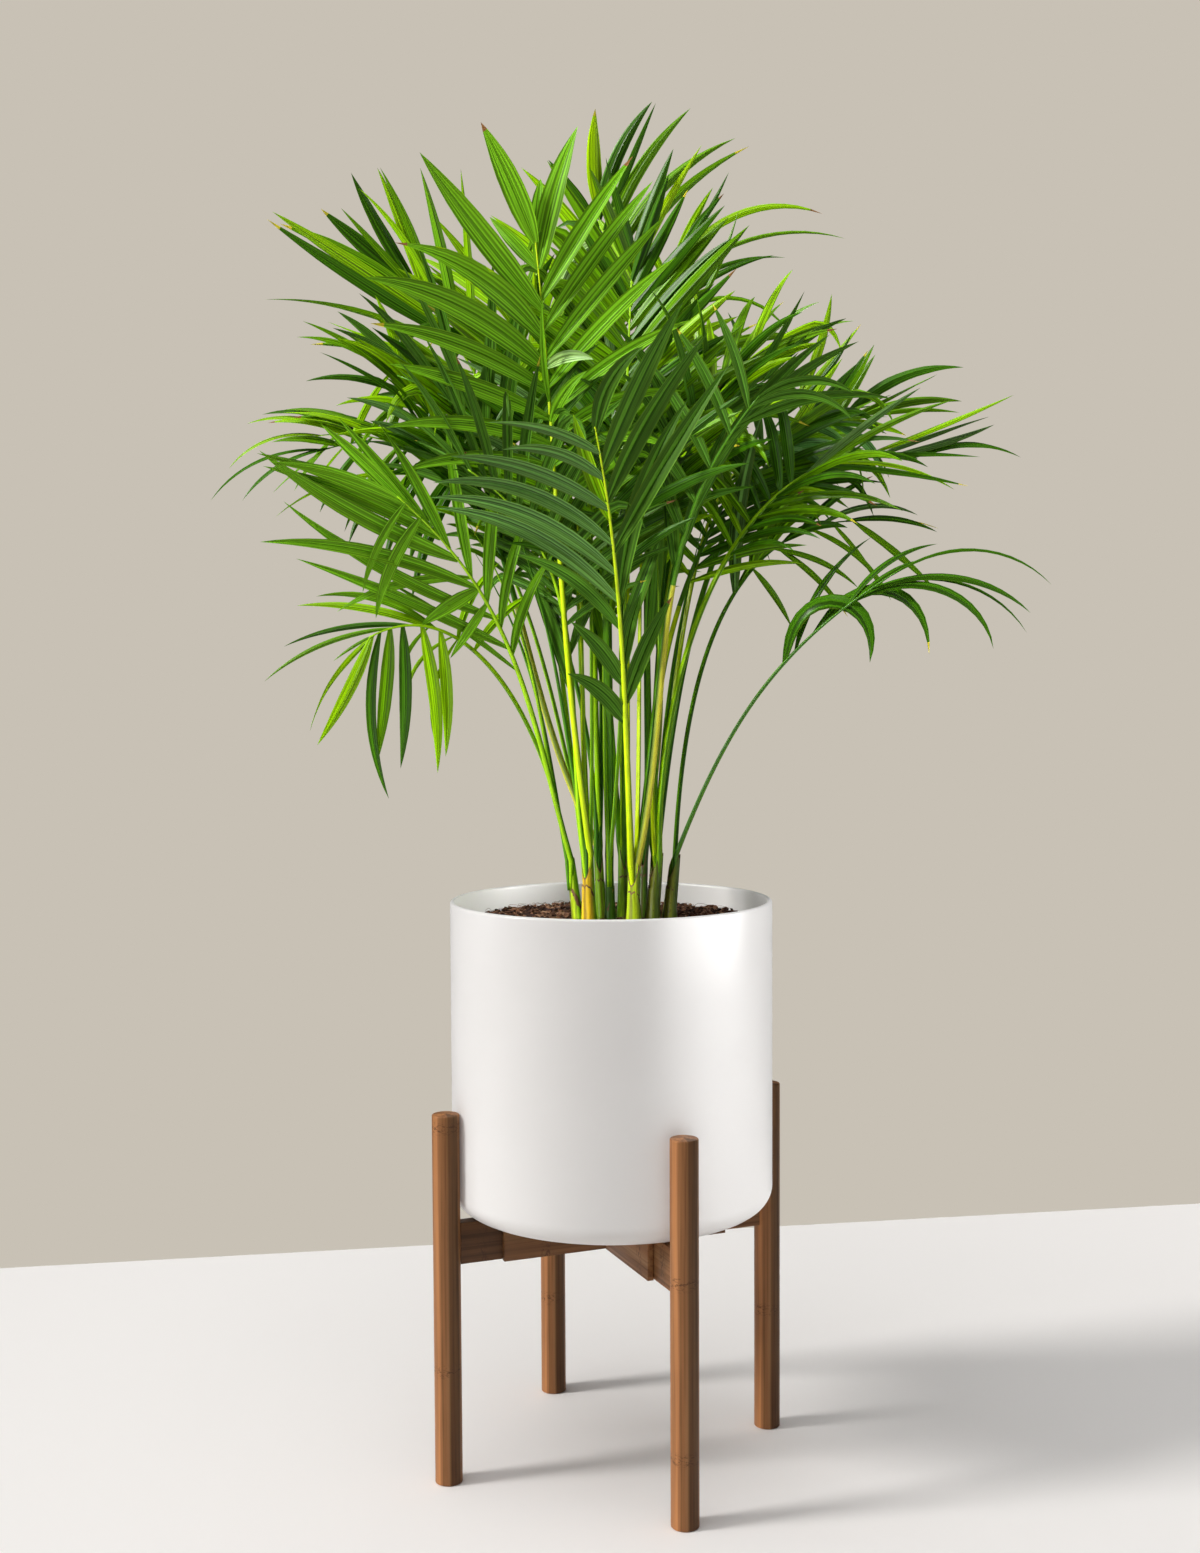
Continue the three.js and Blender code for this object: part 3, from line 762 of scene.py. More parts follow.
stalkStyle = {
    "steps": 44,
    "sides": 10,
    "sunk": 28,
    "tones": {
        "stalkYellow": (0.58, 0.78, 0.003),
        "stalkLime": (0.36, 0.68, 0.003),
        "stalkGreen": (0.100, 0.30, 0.003),
        "stalkRipe": (0.74, 0.72, 0.045),
    },
    "own": {
        "frond_01": ("stalkYellow", 1.15), "frond_02": ("stalkYellow", 1.2), "frond_03": ("stalkLime", 1.0),
        "frond_05": ("stalkLime", 1.1), "frond_06": ("stalkGreen", 1.0), "frond_07": ("stalkLime", 1.0),
        "frond_08": ("stalkLime", 1.25), "frond_09": ("stalkGreen", 1.2), "frond_10": ("stalkGreen", 1.1),
        "frond_11": ("stalkGreen", 1.3), "frond_12": ("stalkYellow", 1.1), "frond_13": ("stalkGreen", 1.0),
        "frond_14": ("stalkRipe", 1.5), "frond_15": ("stalkGreen", 1.4), "frond_16": ("stalkRipe", 1.25),
        "frond_17": ("stalkLime", 1.0), "frond_18": ("stalkGreen", 1.1), "frond_19": ("stalkGreen", 1.2),
        "frond_20": ("stalkLime", 1.0), "frond_22": ("stalkYellow", 0.9), "frond_23": ("stalkLime", 1.0),
        "frond_25": ("stalkGreen", 1.0), "frond_26": ("stalkRipe", 1.1),
    },
    "greenRibs": ("frond_12", "frond_13", "frond_14", "frond_16", "frond_26"),
    "speckled": ("stalkRipe",),
    "speckle": (0.10, 0.055, 0.02),
    "shootBare": 0.6,
    "shootSeat": 2.2,
    "roughness": 0.34,
    "gloss": 0.3,
}
stalkTones = list(stalkStyle["tones"])


def makeStalkMaterial(name, colour):
    s = stalkStyle
    material, tree, shader = newMaterial(name)
    place = leafPlace(tree)
    streak = addGrain(tree, place, (2.5, 9, 1), 3, 0.6)
    tone = addRamp(tree, streak, [(0.28, scaled(colour, 0.55)), (0.5, colour), (0.75, scaled(colour, 1.25))])
    # painted shade: both flanks of the stalk, midway between its upper and lower faces, darken to a deep
    # green
    green = (colour[0] * 0.16, colour[1] * 0.30, colour[2])
    tone = addMix(tree, addRange(tree, addMargin(tree, place), 0.20, 0.46, 0, 0.9), tone, green)
    if name in s["speckled"]:
        spots = addGrain(tree, place, (150, 9, 1), 2, 0.7)
        tone = addMix(tree, addRange(tree, spots, 0.60, 0.66, 0, 0.85), tone, s["speckle"])
    setFinish(tree, shader, tone, s["roughness"], s["gloss"], streak, strength=0.2, distance=0.0004)
    return material


def stalkSection(radius, k):
    # rounded below, with a shallow groove on the upper face
    turn = 2 * math.pi * k / stalkStyle["sides"] + math.pi / 2
    across, above = math.cos(turn), math.sin(turn)
    if above > 0.2:
        above = 0.2 + (above - 0.2) * (0.45 if abs(across) > 0.2 else 0.1)
    return across * radius, above * radius


def addStalk(pile, limb, shade, stout, spear=False):
    s = stalkStyle
    points, places = [], []
    top = caneTop(limb.cane)
    shares = [-1 + i / 4 for i in range(4)] + [i / s["steps"] for i in range(s["steps"] + 1)]
    for share in shares:  # below 0 the stalk runs down inside its cane
        past = max(0, share)
        point, along, side, above = limb.frameAt(past)
        radius = limb.radiusAt(past) * mixed(stout, 1, max(0, share - 0.4) / 0.6)
        if spear:
            radius *= 1.2 * math.sqrt(max(0, 1 - share)) * (0.8 + 0.5 * past)
        if share < 0:
            radius *= mixed(1, 0.55, -share)
            point = mixed(point, np.array([top[0], top[1], point[2]]), 0.7 * -share) + up * s["sunk"] * share
        swell = 1 + 0.1 * max(0, 1 - past / 0.14) ** 2
        for k in range(s["sides"]):
            x, y = stalkSection(radius * swell, k)
            points.append(point + side * x + above * y)
            places.append((8 * share + limb.index * 3.7, abs(2 * k / s["sides"] - 1)))
    faces = tubeFaces(len(shares), s["sides"])
    ribShade = stalkTones.index("stalkGreen") if limb.name in s["greenRibs"] else shade
    ribStart = round(len(shares) * limb.bare) * s["sides"]
    shades = [shade if k < ribStart else ribShade for k in range(len(faces) - 2)] + [shade, ribShade]
    pile.add(np.array(points) * mm + potOffset, faces, shades, places)


def makeStalks():
    s = stalkStyle
    materials = [makeStalkMaterial(name, tone) for name, tone in s["tones"].items()]
    pile = Pile()
    for limb in limbs:
        tone, stout = s["own"].get(limb.name, (stalkTones[int(wobble(limb.seed + 0.7) * 3)], 1.1))
        addStalk(pile, limb, stalkTones.index(tone), stout)
    for number, (cane, compass, reach, rise, lean, nod, stout, tone) in enumerate(shoots):
        row = ("shoot", cane, compass, reach, rise, lean, nod, 0, 0, 0, 0, s["shootBare"], 0, 0, 0)
        seat = compassWay(compass + 90 * (number % 3 - 1)) * s["shootSeat"]
        addStalk(pile, Frond(row, 40 + number, seat), stalkTones.index(tone), stout, True)
    mesh = pile.makeMesh("leaf_stalks")
    addObject("leaf_stalks", mesh, materials, [limb.name for limb in limbs], "cane")
    print("stalks grown,", pile.triangles(), "triangles")


makeStalks()


# Canes: stems wrapped in sheaths whose mouths open to a V, where the stalks come out

caneStyle = {
    "sides": 28,
    "levels": 12,
    "flare": 1.18,
    "flareShare": 0.3,
    "wall": 0.7,
    "taper": 0.10,
    "mouthPower": 2.4,
    "lip": 1.6,  # the dry brown edge
    "sunk": 3,
    "cup": 7,  # how far the cup goes down inside the mouth
    "skins": {
        "skinLime": {"main": (0.24, 0.56, 0.004), "edge": (0.46, 0.64, 0.010), "speckle": 0.3},
        "skinAmber": {"main": (0.22, 0.52, 0.004), "edge": (0.80, 0.54, 0.012), "speckle": 0.3},
        "skinGreen": {"main": (0.13, 0.36, 0.004), "edge": (0.26, 0.48, 0.008), "speckle": 0.3},
        "skinOlive": {"main": (0.12, 0.22, 0.006), "edge": (0.22, 0.24, 0.012), "speckle": 0.8},
        "skinDark": {"main": (0.035, 0.11, 0.004), "edge": (0.08, 0.18, 0.008), "speckle": 0.3},
    },
    "own": {
        "cane_01": ("skinLime", 200), "cane_02": ("skinAmber", 235), "cane_03": ("skinGreen", 285),
        "cane_04": ("skinDark", 60), "cane_05": ("skinGreen", 300), "cane_06": ("skinLime", 240),
        "cane_07": ("skinDark", 260), "cane_08": ("skinOlive", 190), "cane_09": ("skinOlive", 210),
    },
    "brown": (0.085, 0.030, 0.014),
    "dry": (0.26, 0.13, 0.07),
}


def makeSkin(name, main, edge, speckle):
    material, tree, shader = newMaterial(name)
    place = objectPlace(tree)
    side = addNode(tree, "ShaderNodeAttribute", {"attribute_name": "mouthSide"}).outputs["Fac"]
    fibre = addGrain(tree, place, (900, 900, 24), 3, 0.6)
    tone = addMix(tree, addRange(tree, side, 0.45, 0.8, 0, 1), main, edge)
    streak = addRamp(tree, fibre, [(0.3, (0.5, 0.5, 0.5)), (0.62, (1.15, 1.15, 1.15))])
    tone = addMix(tree, 1.0, tone, streak, "MULTIPLY")
    tone = addMix(tree, addRange(tree, side, 0.975, 0.995, 0, 0.6), tone, caneStyle["brown"])
    spots = addGrain(tree, place, (700, 700, 260), 2, 0.7)
    tone = addMix(tree, addRange(tree, spots, 0.60, 0.68, 0, speckle), tone, caneStyle["brown"])
    setFinish(tree, shader, tone, 0.36, 0.5, fibre, strength=0.3, distance=0.0004)
    return material


def makeDryMaterial():
    material, tree, shader = newMaterial("drySheath")
    fibre = addGrain(tree, objectPlace(tree), (800, 800, 60), 3, 0.6)
    tone = addRamp(tree, fibre, [(0.35, caneStyle["brown"]), (0.65, caneStyle["dry"])])
    setFinish(tree, shader, tone, 0.75, 0.5, fibre, strength=0.4, distance=0.0005)
    return material


def raiseTube(bm, rings):
    # extrudes a circle of edges through rings of points
    verts = [bm.verts.new(point) for point in rings[0]]
    edges = [bm.edges.new((a, b)) for a, b in zip(verts, verts[1:] + verts[:1])]
    first = verts
    for ring in rings[1:]:
        out = bmesh.ops.extrude_edge_only(bm, edges=edges)["geom"]
        fresh = [item for item in out if isinstance(item, bmesh.types.BMVert)]
        order = {vert: i for i, vert in enumerate(verts)}
        # each new point takes the turn of the old one that it stands on
        verts = sorted(
            fresh, key=lambda vert: next(order[v] for e in vert.link_edges for v in e.verts if v in order)
        )
        for vert, point in zip(verts, ring):
            vert.co = point
        edges = [bm.edges.get((a, b)) for a, b in zip(verts, verts[1:] + verts[:1])]
    bm.faces.new(list(reversed(first)))
    bm.faces.new(verts)


def addSheath(bm, cane, index, thicker, low, high, mouth):
    # a tube up to a rim that dips to low at the mouth and stands at high behind it, and a cup inside
    s = caneStyle
    x, y, radius, height = cane[1:5]
    foot, top = np.array([x, y, soilTop / mm]), caneTop(cane)
    turns = [2 * math.pi * k / s["sides"] for k in range(s["sides"])]

    def rim(turn):
        gape = (0.5 + 0.5 * math.cos(turn - math.radians(mouth))) ** s["mouthPower"]
        torn = 0.9 * math.sin(9 * turn + index) + 0.7 * math.sin(23 * turn + 2 * index)
        return height * mixed(high, low, gape) + torn * (1 - gape)

    def ring(rise, narrow):
        points = []
        for turn in turns:
            tall = rise(turn)
            flare = mixed(s["flare"], 1, min(1, max(0, tall) / height / s["flareShare"]))
            fold = 1 + 0.035 * math.sin(3 * turn + index) + 0.02 * math.sin(7 * turn + 2 * index)
            centre = mixed(foot, top, tall / height)
            point = centre + compassWay(math.degrees(turn)) * (radius * flare * fold + thicker) * narrow
            points.append(Vector(point * mm + potOffset))
        return points

    rings = [ring(lambda turn: -s["sunk"], 1)]
    for level in range(s["levels"]):
        share = level / (s["levels"] - 1)
        rings.append(ring(lambda turn: share * (rim(turn) - s["lip"]), 1 - s["taper"] * share**2))
    rings.append(ring(rim, 0.885))
    wall = 1 - s["wall"] / radius
    for share in (0, 1 / 3, 2 / 3, 1):
        cup = height * low - s["cup"]
        rings.append(ring(lambda turn: mixed(rim(turn) - 0.1, cup, share), (0.9 - 0.06 * share) * wall))
    before = len(bm.faces)
    raiseTube(bm, rings)
    bm.faces.ensure_lookup_table()
    heart = mixed(foot, top, 0.8)
    for face in bm.faces[before:]:
        middle = face.calc_center_median() / mm - Vector(potOffset / mm)
        turn = math.atan2(middle.y - heart[1], middle.x - heart[0])
        if len(face.verts) == 4 and middle.z > soilTop / mm + rim(turn) - s["lip"] - 0.1:
            face.material_index = 1


def makeCane(cane, index, skins):
    name, x, y, radius, height, compass, lean = cane
    tone, mouth = caneStyle["own"].get(name, ("skinGreen", compass + 140 * (index % 2) + 40))
    bm = bmesh.new()
    addSheath(bm, cane, index, 0, 0.66, 1.04, mouth)
    addSheath(bm, cane, index + 5, 0.7, 0.22, 0.56, mouth + 165)
    side = bm.verts.layers.float.new("mouthSide")
    for vert in bm.verts:
        point = vert.co / mm - potMiddle / mm
        share = (point.z - soilTop / mm) / height
        centre = mixed(np.array([x, y]), caneTop(cane)[:2], share)
        turn = math.atan2(point.y - centre[1], point.x - centre[0])
        vert[side] = 0.5 + 0.5 * math.cos(turn - math.radians(mouth))
    mesh = finishBmesh(bm, name + "_stem", 60)
    addObject(name + "_stem", mesh, [skins[tone], skins["dry"]], [name], "cane")


caneSkins = {name: makeSkin(name, **skin) for name, skin in caneStyle["skins"].items()}
caneSkins["dry"] = makeDryMaterial()
for number, row in enumerate(canes):
    makeCane(row, number, caneSkins)
print("canes sheathed")


# Leaflets: ridged, pleated blades in the fronds' greens, duller below

leafStyle = {
    "steps": 14,
    "strips": 6,
    "finer": 1.3,
    "thickness": 0.5,
    "fold": 20,
    "pleat": 0.05,
    "ripple": 0.07,
    "twist": 26,
    "twistMore": 4,
    "twistedShare": 0.10,
    "profile": [(0, 0.30), (0.06, 0.52), (0.15, 0.78), (0.28, 0.96), (0.42, 1.0), (0.58, 0.93),
                (0.72, 0.74), (0.84, 0.48), (0.93, 0.24), (1, 0.0)],
    # the upper faces' greens, darkest first, picked by each frond's tint: partly the leaves' own range and
    # partly painted light and shade
    "upper": {
        "leafShade": (0.070, 0.160, 0.032),
        "leafDeep": (0.034, 0.120, 0.002),
        "leafMid": (0.095, 0.250, 0.001),
        "leafFresh": (0.205, 0.440, 0.001),
        "leafBright": (0.300, 0.580, 0.001),
    },
    "under": {"underDeep": (0.052, 0.150, 0.010), "underFresh": (0.120, 0.320, 0.008)},
    "tips": {"tipYellow": (0.48, 0.44, 0.03), "tipBrown": (0.20, 0.10, 0.035)},
    # tones of their own for a few leaflets: leafPale is painted sheen, a pale whitish green standing in for
    # the satin highlight; leafSatin and leafDull are greyish greens, partly the leaflets' own colour and
    # partly painted sheen
    "paintedSheen": {"leafPale": (0.27, 0.46, 0.15), "leafSatin": (0.10, 0.27, 0.06),
               "leafDull": (0.094, 0.225, 0.045)},
    "margin": (0.30, 0.38, 0.01),
    "roughness": 0.33,
    "matteRoughness": 0.15,  # how much rougher the lower faces and dry tips are
    "sheen": 0.14,
    "matteSheen": 0.6,
    "clear": 4.5,  # least distance between a leaflet's middle and another frond's stalk
    "inset": 3,
    "bigPiece": 150000,
}

# leaflets that the photo shows singly: share of the leafy rib, direction at the foot and at the tip
# in the view's plane (0 right, 90 up), length, width, lean to the front and, for a few, a tone of
# their own, in millimetres and degrees. The number before each list is the share of the rib up to
# which the common rule still sets leaflets.
seen = {
    "frond_01": (0.12, [
        (0.98, 110, 121, 112, 22, 5), (0.90, 128, 134, 72, 13, -20), (0.77, 130, 127, 168, 22, 8),
        (0.67, 131, 174, 156, 23, 15), (0.56, 138, 178, 180, 23, 15), (0.48, 148, 178, 168, 18, 15),
        (0.38, 155, 172, 150, 16, 10), (0.28, 160, 195, 150, 14, 10), (0.19, 165, 205, 140, 13, 5),
        (0.90, 80, 66, 128, 22, 0), (0.98, 86, 88, 70, 15, -25), (0.80, 59, 54, 148, 18, 0),
        (0.70, 56, 51, 165, 16, -5), (0.60, 53, 47, 165, 16, -5), (0.50, 50, 38, 160, 15, 0),
        (0.40, 43, 18, 150, 14, 5), (0.30, 41, -12, 130, 13, 10), (0.20, 38, -40, 120, 12, 15),
        (0.44, 98, 86, 92, 7, 25), (0.36, 70, 30, 60, 12, 25), (0.57, 30, -40, 58, 12, 40, "leafPale"),
    ]),
    "frond_02": (0, [
        (0.33, 134, 178, 182, 15, 5, "leafDull"), (0.44, 138, 184, 178, 15, 5, "leafDull"),
        (0.56, 139, 192, 168, 15, 10, "leafDull"), (0.70, 148, 182, 144, 14, 15, "leafDull"),
        (0.82, 142, 198, 95, 12, 20, "leafDull"), (0.92, 150, 192, 104, 12, 25, "leafDull"),
        (0.66, 114, 103, 94, 15, 8, "leafFresh"), (1.0, 82, 26, 84, 15, 25), (0.31, 84, 54, 190, 19, 5),
        (0.53, 60, 54, 184, 18, 15), (0.73, 66, 46, 170, 18, 27), (0.86, 66, 56, 162, 17, 34),
        (-0.07, 72, 58, 106, 16, 10), (0.06, 84, 66, 72, 14, 10), (-0.14, 118, 168, 72, 17, 12),
        (0.0, 116, 148, 76, 16, 12), (0.22, 125, 170, 120, 13, -10), (0.16, 72, 66, 120, 14, -20),
    ]),
    "frond_03": (0.52, [
        (1.0, 140, 141, 118, 18, 5), (0.99, 122, 116, 128, 14, 5), (0.93, 106, 116, 140, 12, 0),
        (0.96, 132, 134, 115, 8, 5), (0.90, 142, 163, 168, 16, 5), (0.84, 146, 150, 190, 15, 10),
        (0.78, 150, 146, 205, 14, 8), (0.70, 152, 182, 198, 7, 5), (0.62, 162, 160, 148, 6, 5),
        (0.56, 152, 186, 170, 12, 5), (0.88, 103, 121, 152, 11, 0), (0.82, 108, 140, 160, 8, 0),
        (0.72, 99, 107, 184, 13, -5), (0.62, 92, 96, 200, 9, -5), (0.40, 50, -75, 62, 13, 30, "leafPale"),
    ]),
    "frond_04": (0.5, [
        (1.0, 96, 86, 100, 17, 0), (0.97, 80, 46, 128, 15, 0), (0.90, 69, 65, 140, 8, 5),
        (0.84, 73, 40, 170, 14, 0), (0.74, 70, 18, 198, 14, 0), (0.66, 67, 22, 215, 11, 0),
        (0.58, 66, 55, 195, 11, 10), (0.90, 215, 284, 118, 18, 35, "leafPale"),
        (0.97, -58, -79, 128, 15, 30), (0.92, 118, 132, 95, 13, -10), (0.82, 125, 135, 130, 14, -10),
        (0.72, 128, 140, 150, 14, -10), (0.62, 130, 145, 160, 14, -10),
    ]),
    "frond_05": (0, [
        (0.98, 152, 178, 120, 11, 5), (0.90, 150, 170, 150, 13, 5), (0.78, 150, 168, 165, 14, 5),
        (0.66, 158, 142, 195, 17, 10), (0.50, 156, 184, 196, 14, 10), (0.34, 159, 140, 212, 13, 8),
        (0.18, 153, 162, 204, 12, 8), (0.06, 140, 152, 150, 6, 8), (0.96, 134, 140, 104, 12, 0),
        (0.84, 128, 132, 124, 12, 0), (0.72, 116, 124, 132, 12, -5), (0.56, 100, 98, 145, 12, -8),
        (0.42, 88, 80, 140, 12, -8), (0.28, 84, 62, 120, 11, -5), (0.14, 80, 50, 100, 10, 0),
        (0.98, 228, 256, 96, 8, -25), (0.90, 230, 258, 108, 12, -25), (0.56, 178, 214, 127, 9, -5),
        (0.50, 208, 216, 62, 14, -8), (0.42, 236, 234, 60, 9, -8),
    ]),
    "frond_06": (0, [
        (0.03, 82, -100, 155, 17, 12), (0.15, 76, 28, 130, 9, -8), (0.33, 54, -88, 155, 12, 8),
        (0.62, 56, 4, 105, 7, -9), (0.66, 30, -86, 155, 9, 10), (0.70, 42, 20, 64, 7, -12),
        (0.80, 20, -48, 150, 8, 5), (0.78, 20, -62, 160, 4, 0), (0.95, 32, -52, 155, 5, 0),
    ]),
    "frond_07": (0, [
        (0.48, 144, 192, 118, 7, -8), (0.46, 158, 186, 134, 8, -8), (0.68, 176, 206, 120, 6, -5),
        (0.84, 186, 224, 126, 5, 0), (1.0, 207, 220, 41, 3, 0), (1.0, 250, 236, 108, 12, 10),
        (0.98, 222, 256, 104, 6, 8), (0.94, 258, 294, 150, 10, 8), (0.86, 268, 260, 121, 13, 8),
        (0.76, 275, 262, 127, 13, 8), (0.60, 284, 266, 133, 13, 8), (0.44, 279, 264, 114, 12, 8),
        (0.54, 222, 286, 70, 4, 15), (0.32, 205, 288, 90, 4, 15), (0.28, 236, 288, 100, 4, 12),
        (0.12, 60, 20, 90, 8, -20), (0.28, 80, 40, 90, 8, -25),
    ]),
    "frond_08": (0.45, [
        (0.80, 20, 24, 150, 6, 0), (1.0, 24, -34, 118, 9, 5), (0.92, 12, 22, 100, 8, 0),
        (0.86, 22, 14, 110, 8, 0), (0.74, 5, -10, 118, 8, 8), (0.66, 16, -34, 88, 8, 8),
        (0.62, 4, -36, 122, 5, 8), (0.60, -4, -18, 135, 8, 10), (0.66, 30, 40, 44, 3, 12),
        (0.85, -55, -78, 26, 3, 10), (0.75, -70, -95, 40, 2, 12), (0.54, 36, 14, 150, 8, -5),
        (0.50, 42, 30, 140, 9, -8),
    ]),
    "frond_09": (0.36, [
        (1.0, 12, -14, 85, 8, 0), (0.92, 22, -12, 105, 12, 0), (0.84, 46, -10, 132, 13, 5),
        (0.88, 27, 24, 95, 7, 0), (0.72, 30, 14, 75, 8, 0), (0.80, 62, 55, 75, 9, 0),
        (0.70, 52, 60, 100, 10, -5), (0.62, 50, 56, 105, 10, -5), (0.78, 0, -30, 75, 9, 8),
        (0.72, 8, -34, 66, 7, 12), (0.76, -20, -84, 82, 11, 15, "leafSatin"),
        (0.45, 32, -66, 84, 12, 18, "leafSatin"),
        (0.40, -28, -42, 92, 10, 18), (0.52, 54, 44, 110, 12, -10), (0.44, 60, 50, 120, 12, -10),
    ]),
    "frond_10": (0.3, [
        (1.0, 178, 238, 125, 5, 0), (0.98, 190, 240, 100, 6, 5), (0.35, 165, 224, 195, 5, 10),
        (0.94, 160, 202, 66, 12, 5), (0.84, 150, 196, 96, 12, 5), (0.72, 148, 188, 110, 11, 5),
        (1.0, 215, 230, 65, 4, 12), (0.92, 225, 250, 60, 4, 10), (0.90, 75, 40, 90, 10, -10),
        (0.75, 80, 50, 110, 11, -10), (0.60, 84, 50, 120, 12, -10), (0.45, 85, 55, 120, 12, -10),
        (0.55, 235, 262, 120, 10, 10), (0.42, 240, 262, 130, 12, 10), (0.70, 228, 252, 100, 8, 10),
        (0.60, 150, 186, 130, 11, 0), (0.40, 126, 168, 86, 15, 18, "leafDull"),
        (0.47, 136, 174, 88, 13, 20, "leafDull"), (0.32, 118, 150, 90, 14, 18, "leafDull"),
    ]),
    "frond_11": (0.45, [
        (0.95, 58, -26, 186, 9, 0), (0.88, 42, -20, 198, 6, 0), (0.80, 43, -12, 134, 7, 5),
        (0.73, 44, 6, 128, 7, 5), (0.66, 46, -74, 156, 6, 5), (1.0, 68, 56, 94, 9, 0),
        (0.94, 67, 44, 104, 11, 0), (0.98, 57, 64, 122, 7, -5), (0.52, 50, 76, 166, 6, 0),
        (0.90, 112, 128, 110, 11, -5), (0.80, 118, 132, 130, 12, -5), (0.68, 122, 136, 140, 12, -5),
        (0.58, 125, 140, 140, 12, -5),
    ]),
    "frond_12": (0.75, [
        (1.0, 62, 84, 112, 10, 0), (0.98, 48, 51, 104, 7, 0), (0.90, 40, 64, 108, 7, 5),
        (0.86, 5, -62, 84, 12, 20, "leafSatin"), (0.82, -28, -36, 90, 11, 20, "leafSatin"),
        (0.62, 34, -70, 96, 12, 28, "leafSatin"),
    ]),
    "frond_13": (0, [
        (0.88, -45, -65, 80, 6, 0), (1.0, -34, -50, 104, 9, 5), (0.74, -22, -70, 106, 7, 8),
        (0.48, -8, -50, 90, 7, 8), (0.50, -33, -62, 96, 7, 8), (0.30, -48, -70, 68, 7, 8),
        (0.80, 34, -32, 100, 7, 0), (0.42, 70, -15, 82, 10, 5), (0.12, 92, 66, 172, 17, 0),
        (0.28, 82, 22, 94, 14, 5), (1.0, 8, -24, 84, 2.5, 0, "tipYellow"),
        (0.96, 10, -30, 90, 7, 0), (0.66, 50, 20, 95, 9, -10),
        (0.56, 38, -24, 64, 10, 5), (0.10, 60, 48, 140, 9, -12), (0.20, 56, 40, 130, 8, -12),
    ]),
    "frond_14": (0.5, [
        (0.82, 130, 164, 142, 10, 8), (0.78, 122, 156, 120, 9, 8), (0.80, 112, 180, 116, 14, 12),
        (0.76, 92, 150, 78, 16, 14), (0.74, 138, 162, 130, 7, 8), (0.86, 148, 200, 112, 9, 8),
        (0.62, 93, 80, 76, 13, 16), (1.0, 140, 186, 100, 9, 5), (0.94, 100, 120, 90, 10, 0),
        (0.90, 210, 250, 80, 8, 12), (0.66, 215, 250, 100, 10, 12), (0.56, 228, 262, 110, 12, 10),
        (0.60, 60, 20, 100, 11, 5), (0.80, 50, 10, 80, 9, 8), (0.45, 78, 8, 66, 10, 28, "leafPale"),
        (0.70, 170, 198, 108, 9, 15, "leafFresh"), (0.80, 152, 208, 92, 9, 12, "leafFresh"),
        (0.64, 140, 176, 110, 10, 10, "leafDull"),
    ]),
    "frond_15": (1.01, [
        (-0.3, 100, 108, 160, 17, -8), (-0.2, 82, 76, 160, 17, -10), (-0.5, 96, 92, 150, 15, -8),
    ]),
    "frond_16": (0, [
        (1.0, 35, -40, 90, 10, 5), (0.95, 30, -60, 100, 9, 10), (0.85, 28, -15, 140, 11, 0),
        (0.75, 50, 20, 150, 12, -5), (0.60, 58, 35, 160, 12, -5), (0.45, 62, 45, 160, 13, -10),
        (0.30, 66, 52, 150, 13, -10), (0.12, 74, 62, 130, 13, -10), (0.95, 100, 118, 100, 10, -10),
        (0.80, 108, 125, 110, 12, -12), (0.60, 112, 128, 120, 12, -15), (0.40, 118, 130, 120, 12, -15),
        (0.20, 112, 100, 110, 14, -15), (0.0, 96, 92, 120, 15, -15),
    ]),
    "frond_17": (1.01, [
        (-0.1, 70, 62, 150, 13, -12), (0.1, 80, 84, 160, 14, -12), (-0.3, 104, 118, 130, 13, -8),
    ]),
    "frond_18": (0.8, [
        (0.62, 90, 86, 64, 14, 22), (0.35, 84, 60, 90, 11, 15), (0.95, 128, 150, 100, 11, -5),
        (0.88, 135, 165, 110, 11, 0),
    ]),
    "frond_19": (0.7, [
        (-0.42, 86, 84, 190, 20, 0), (-0.2, 78, 70, 160, 17, -8), (0.05, 96, 100, 150, 16, -10),
        (0.96, 52, 16, 96, 9, 0), (0.86, 56, 62, 110, 9, 0), (0.78, 48, 30, 110, 10, 0),
    ]),
    "frond_21": (1.01, [
        (0.66, 94, 88, 104, 9, 12, "leafBright"), (0.5, 88, 90, 56, 7, 18, "leafBright"),
    ]),
    "frond_23": (0.45, [
        (1.0, 172, 236, 100, 6, 0), (0.92, 150, 205, 96, 9, 0), (0.84, 146, 196, 104, 10, -5),
        (0.72, 142, 190, 112, 11, -5), (0.62, 140, 186, 120, 12, -8), (0.52, 138, 182, 130, 12, -8),
        (0.94, 222, 250, 70, 7, 8), (0.80, 224, 252, 90, 8, 8), (0.64, 226, 256, 110, 10, 8),
    ]),
    "frond_26": (1.01, [
        (-0.30, 76, 80, 175, 18, -6), (-0.1, 66, 58, 150, 15, -10), (-0.5, 92, 96, 150, 15, -8),
    ]),
}


toneTable = {**leafStyle["upper"], **leafStyle["under"], **leafStyle["tips"], **leafStyle["paintedSheen"]}
leafTones = list(toneTable)


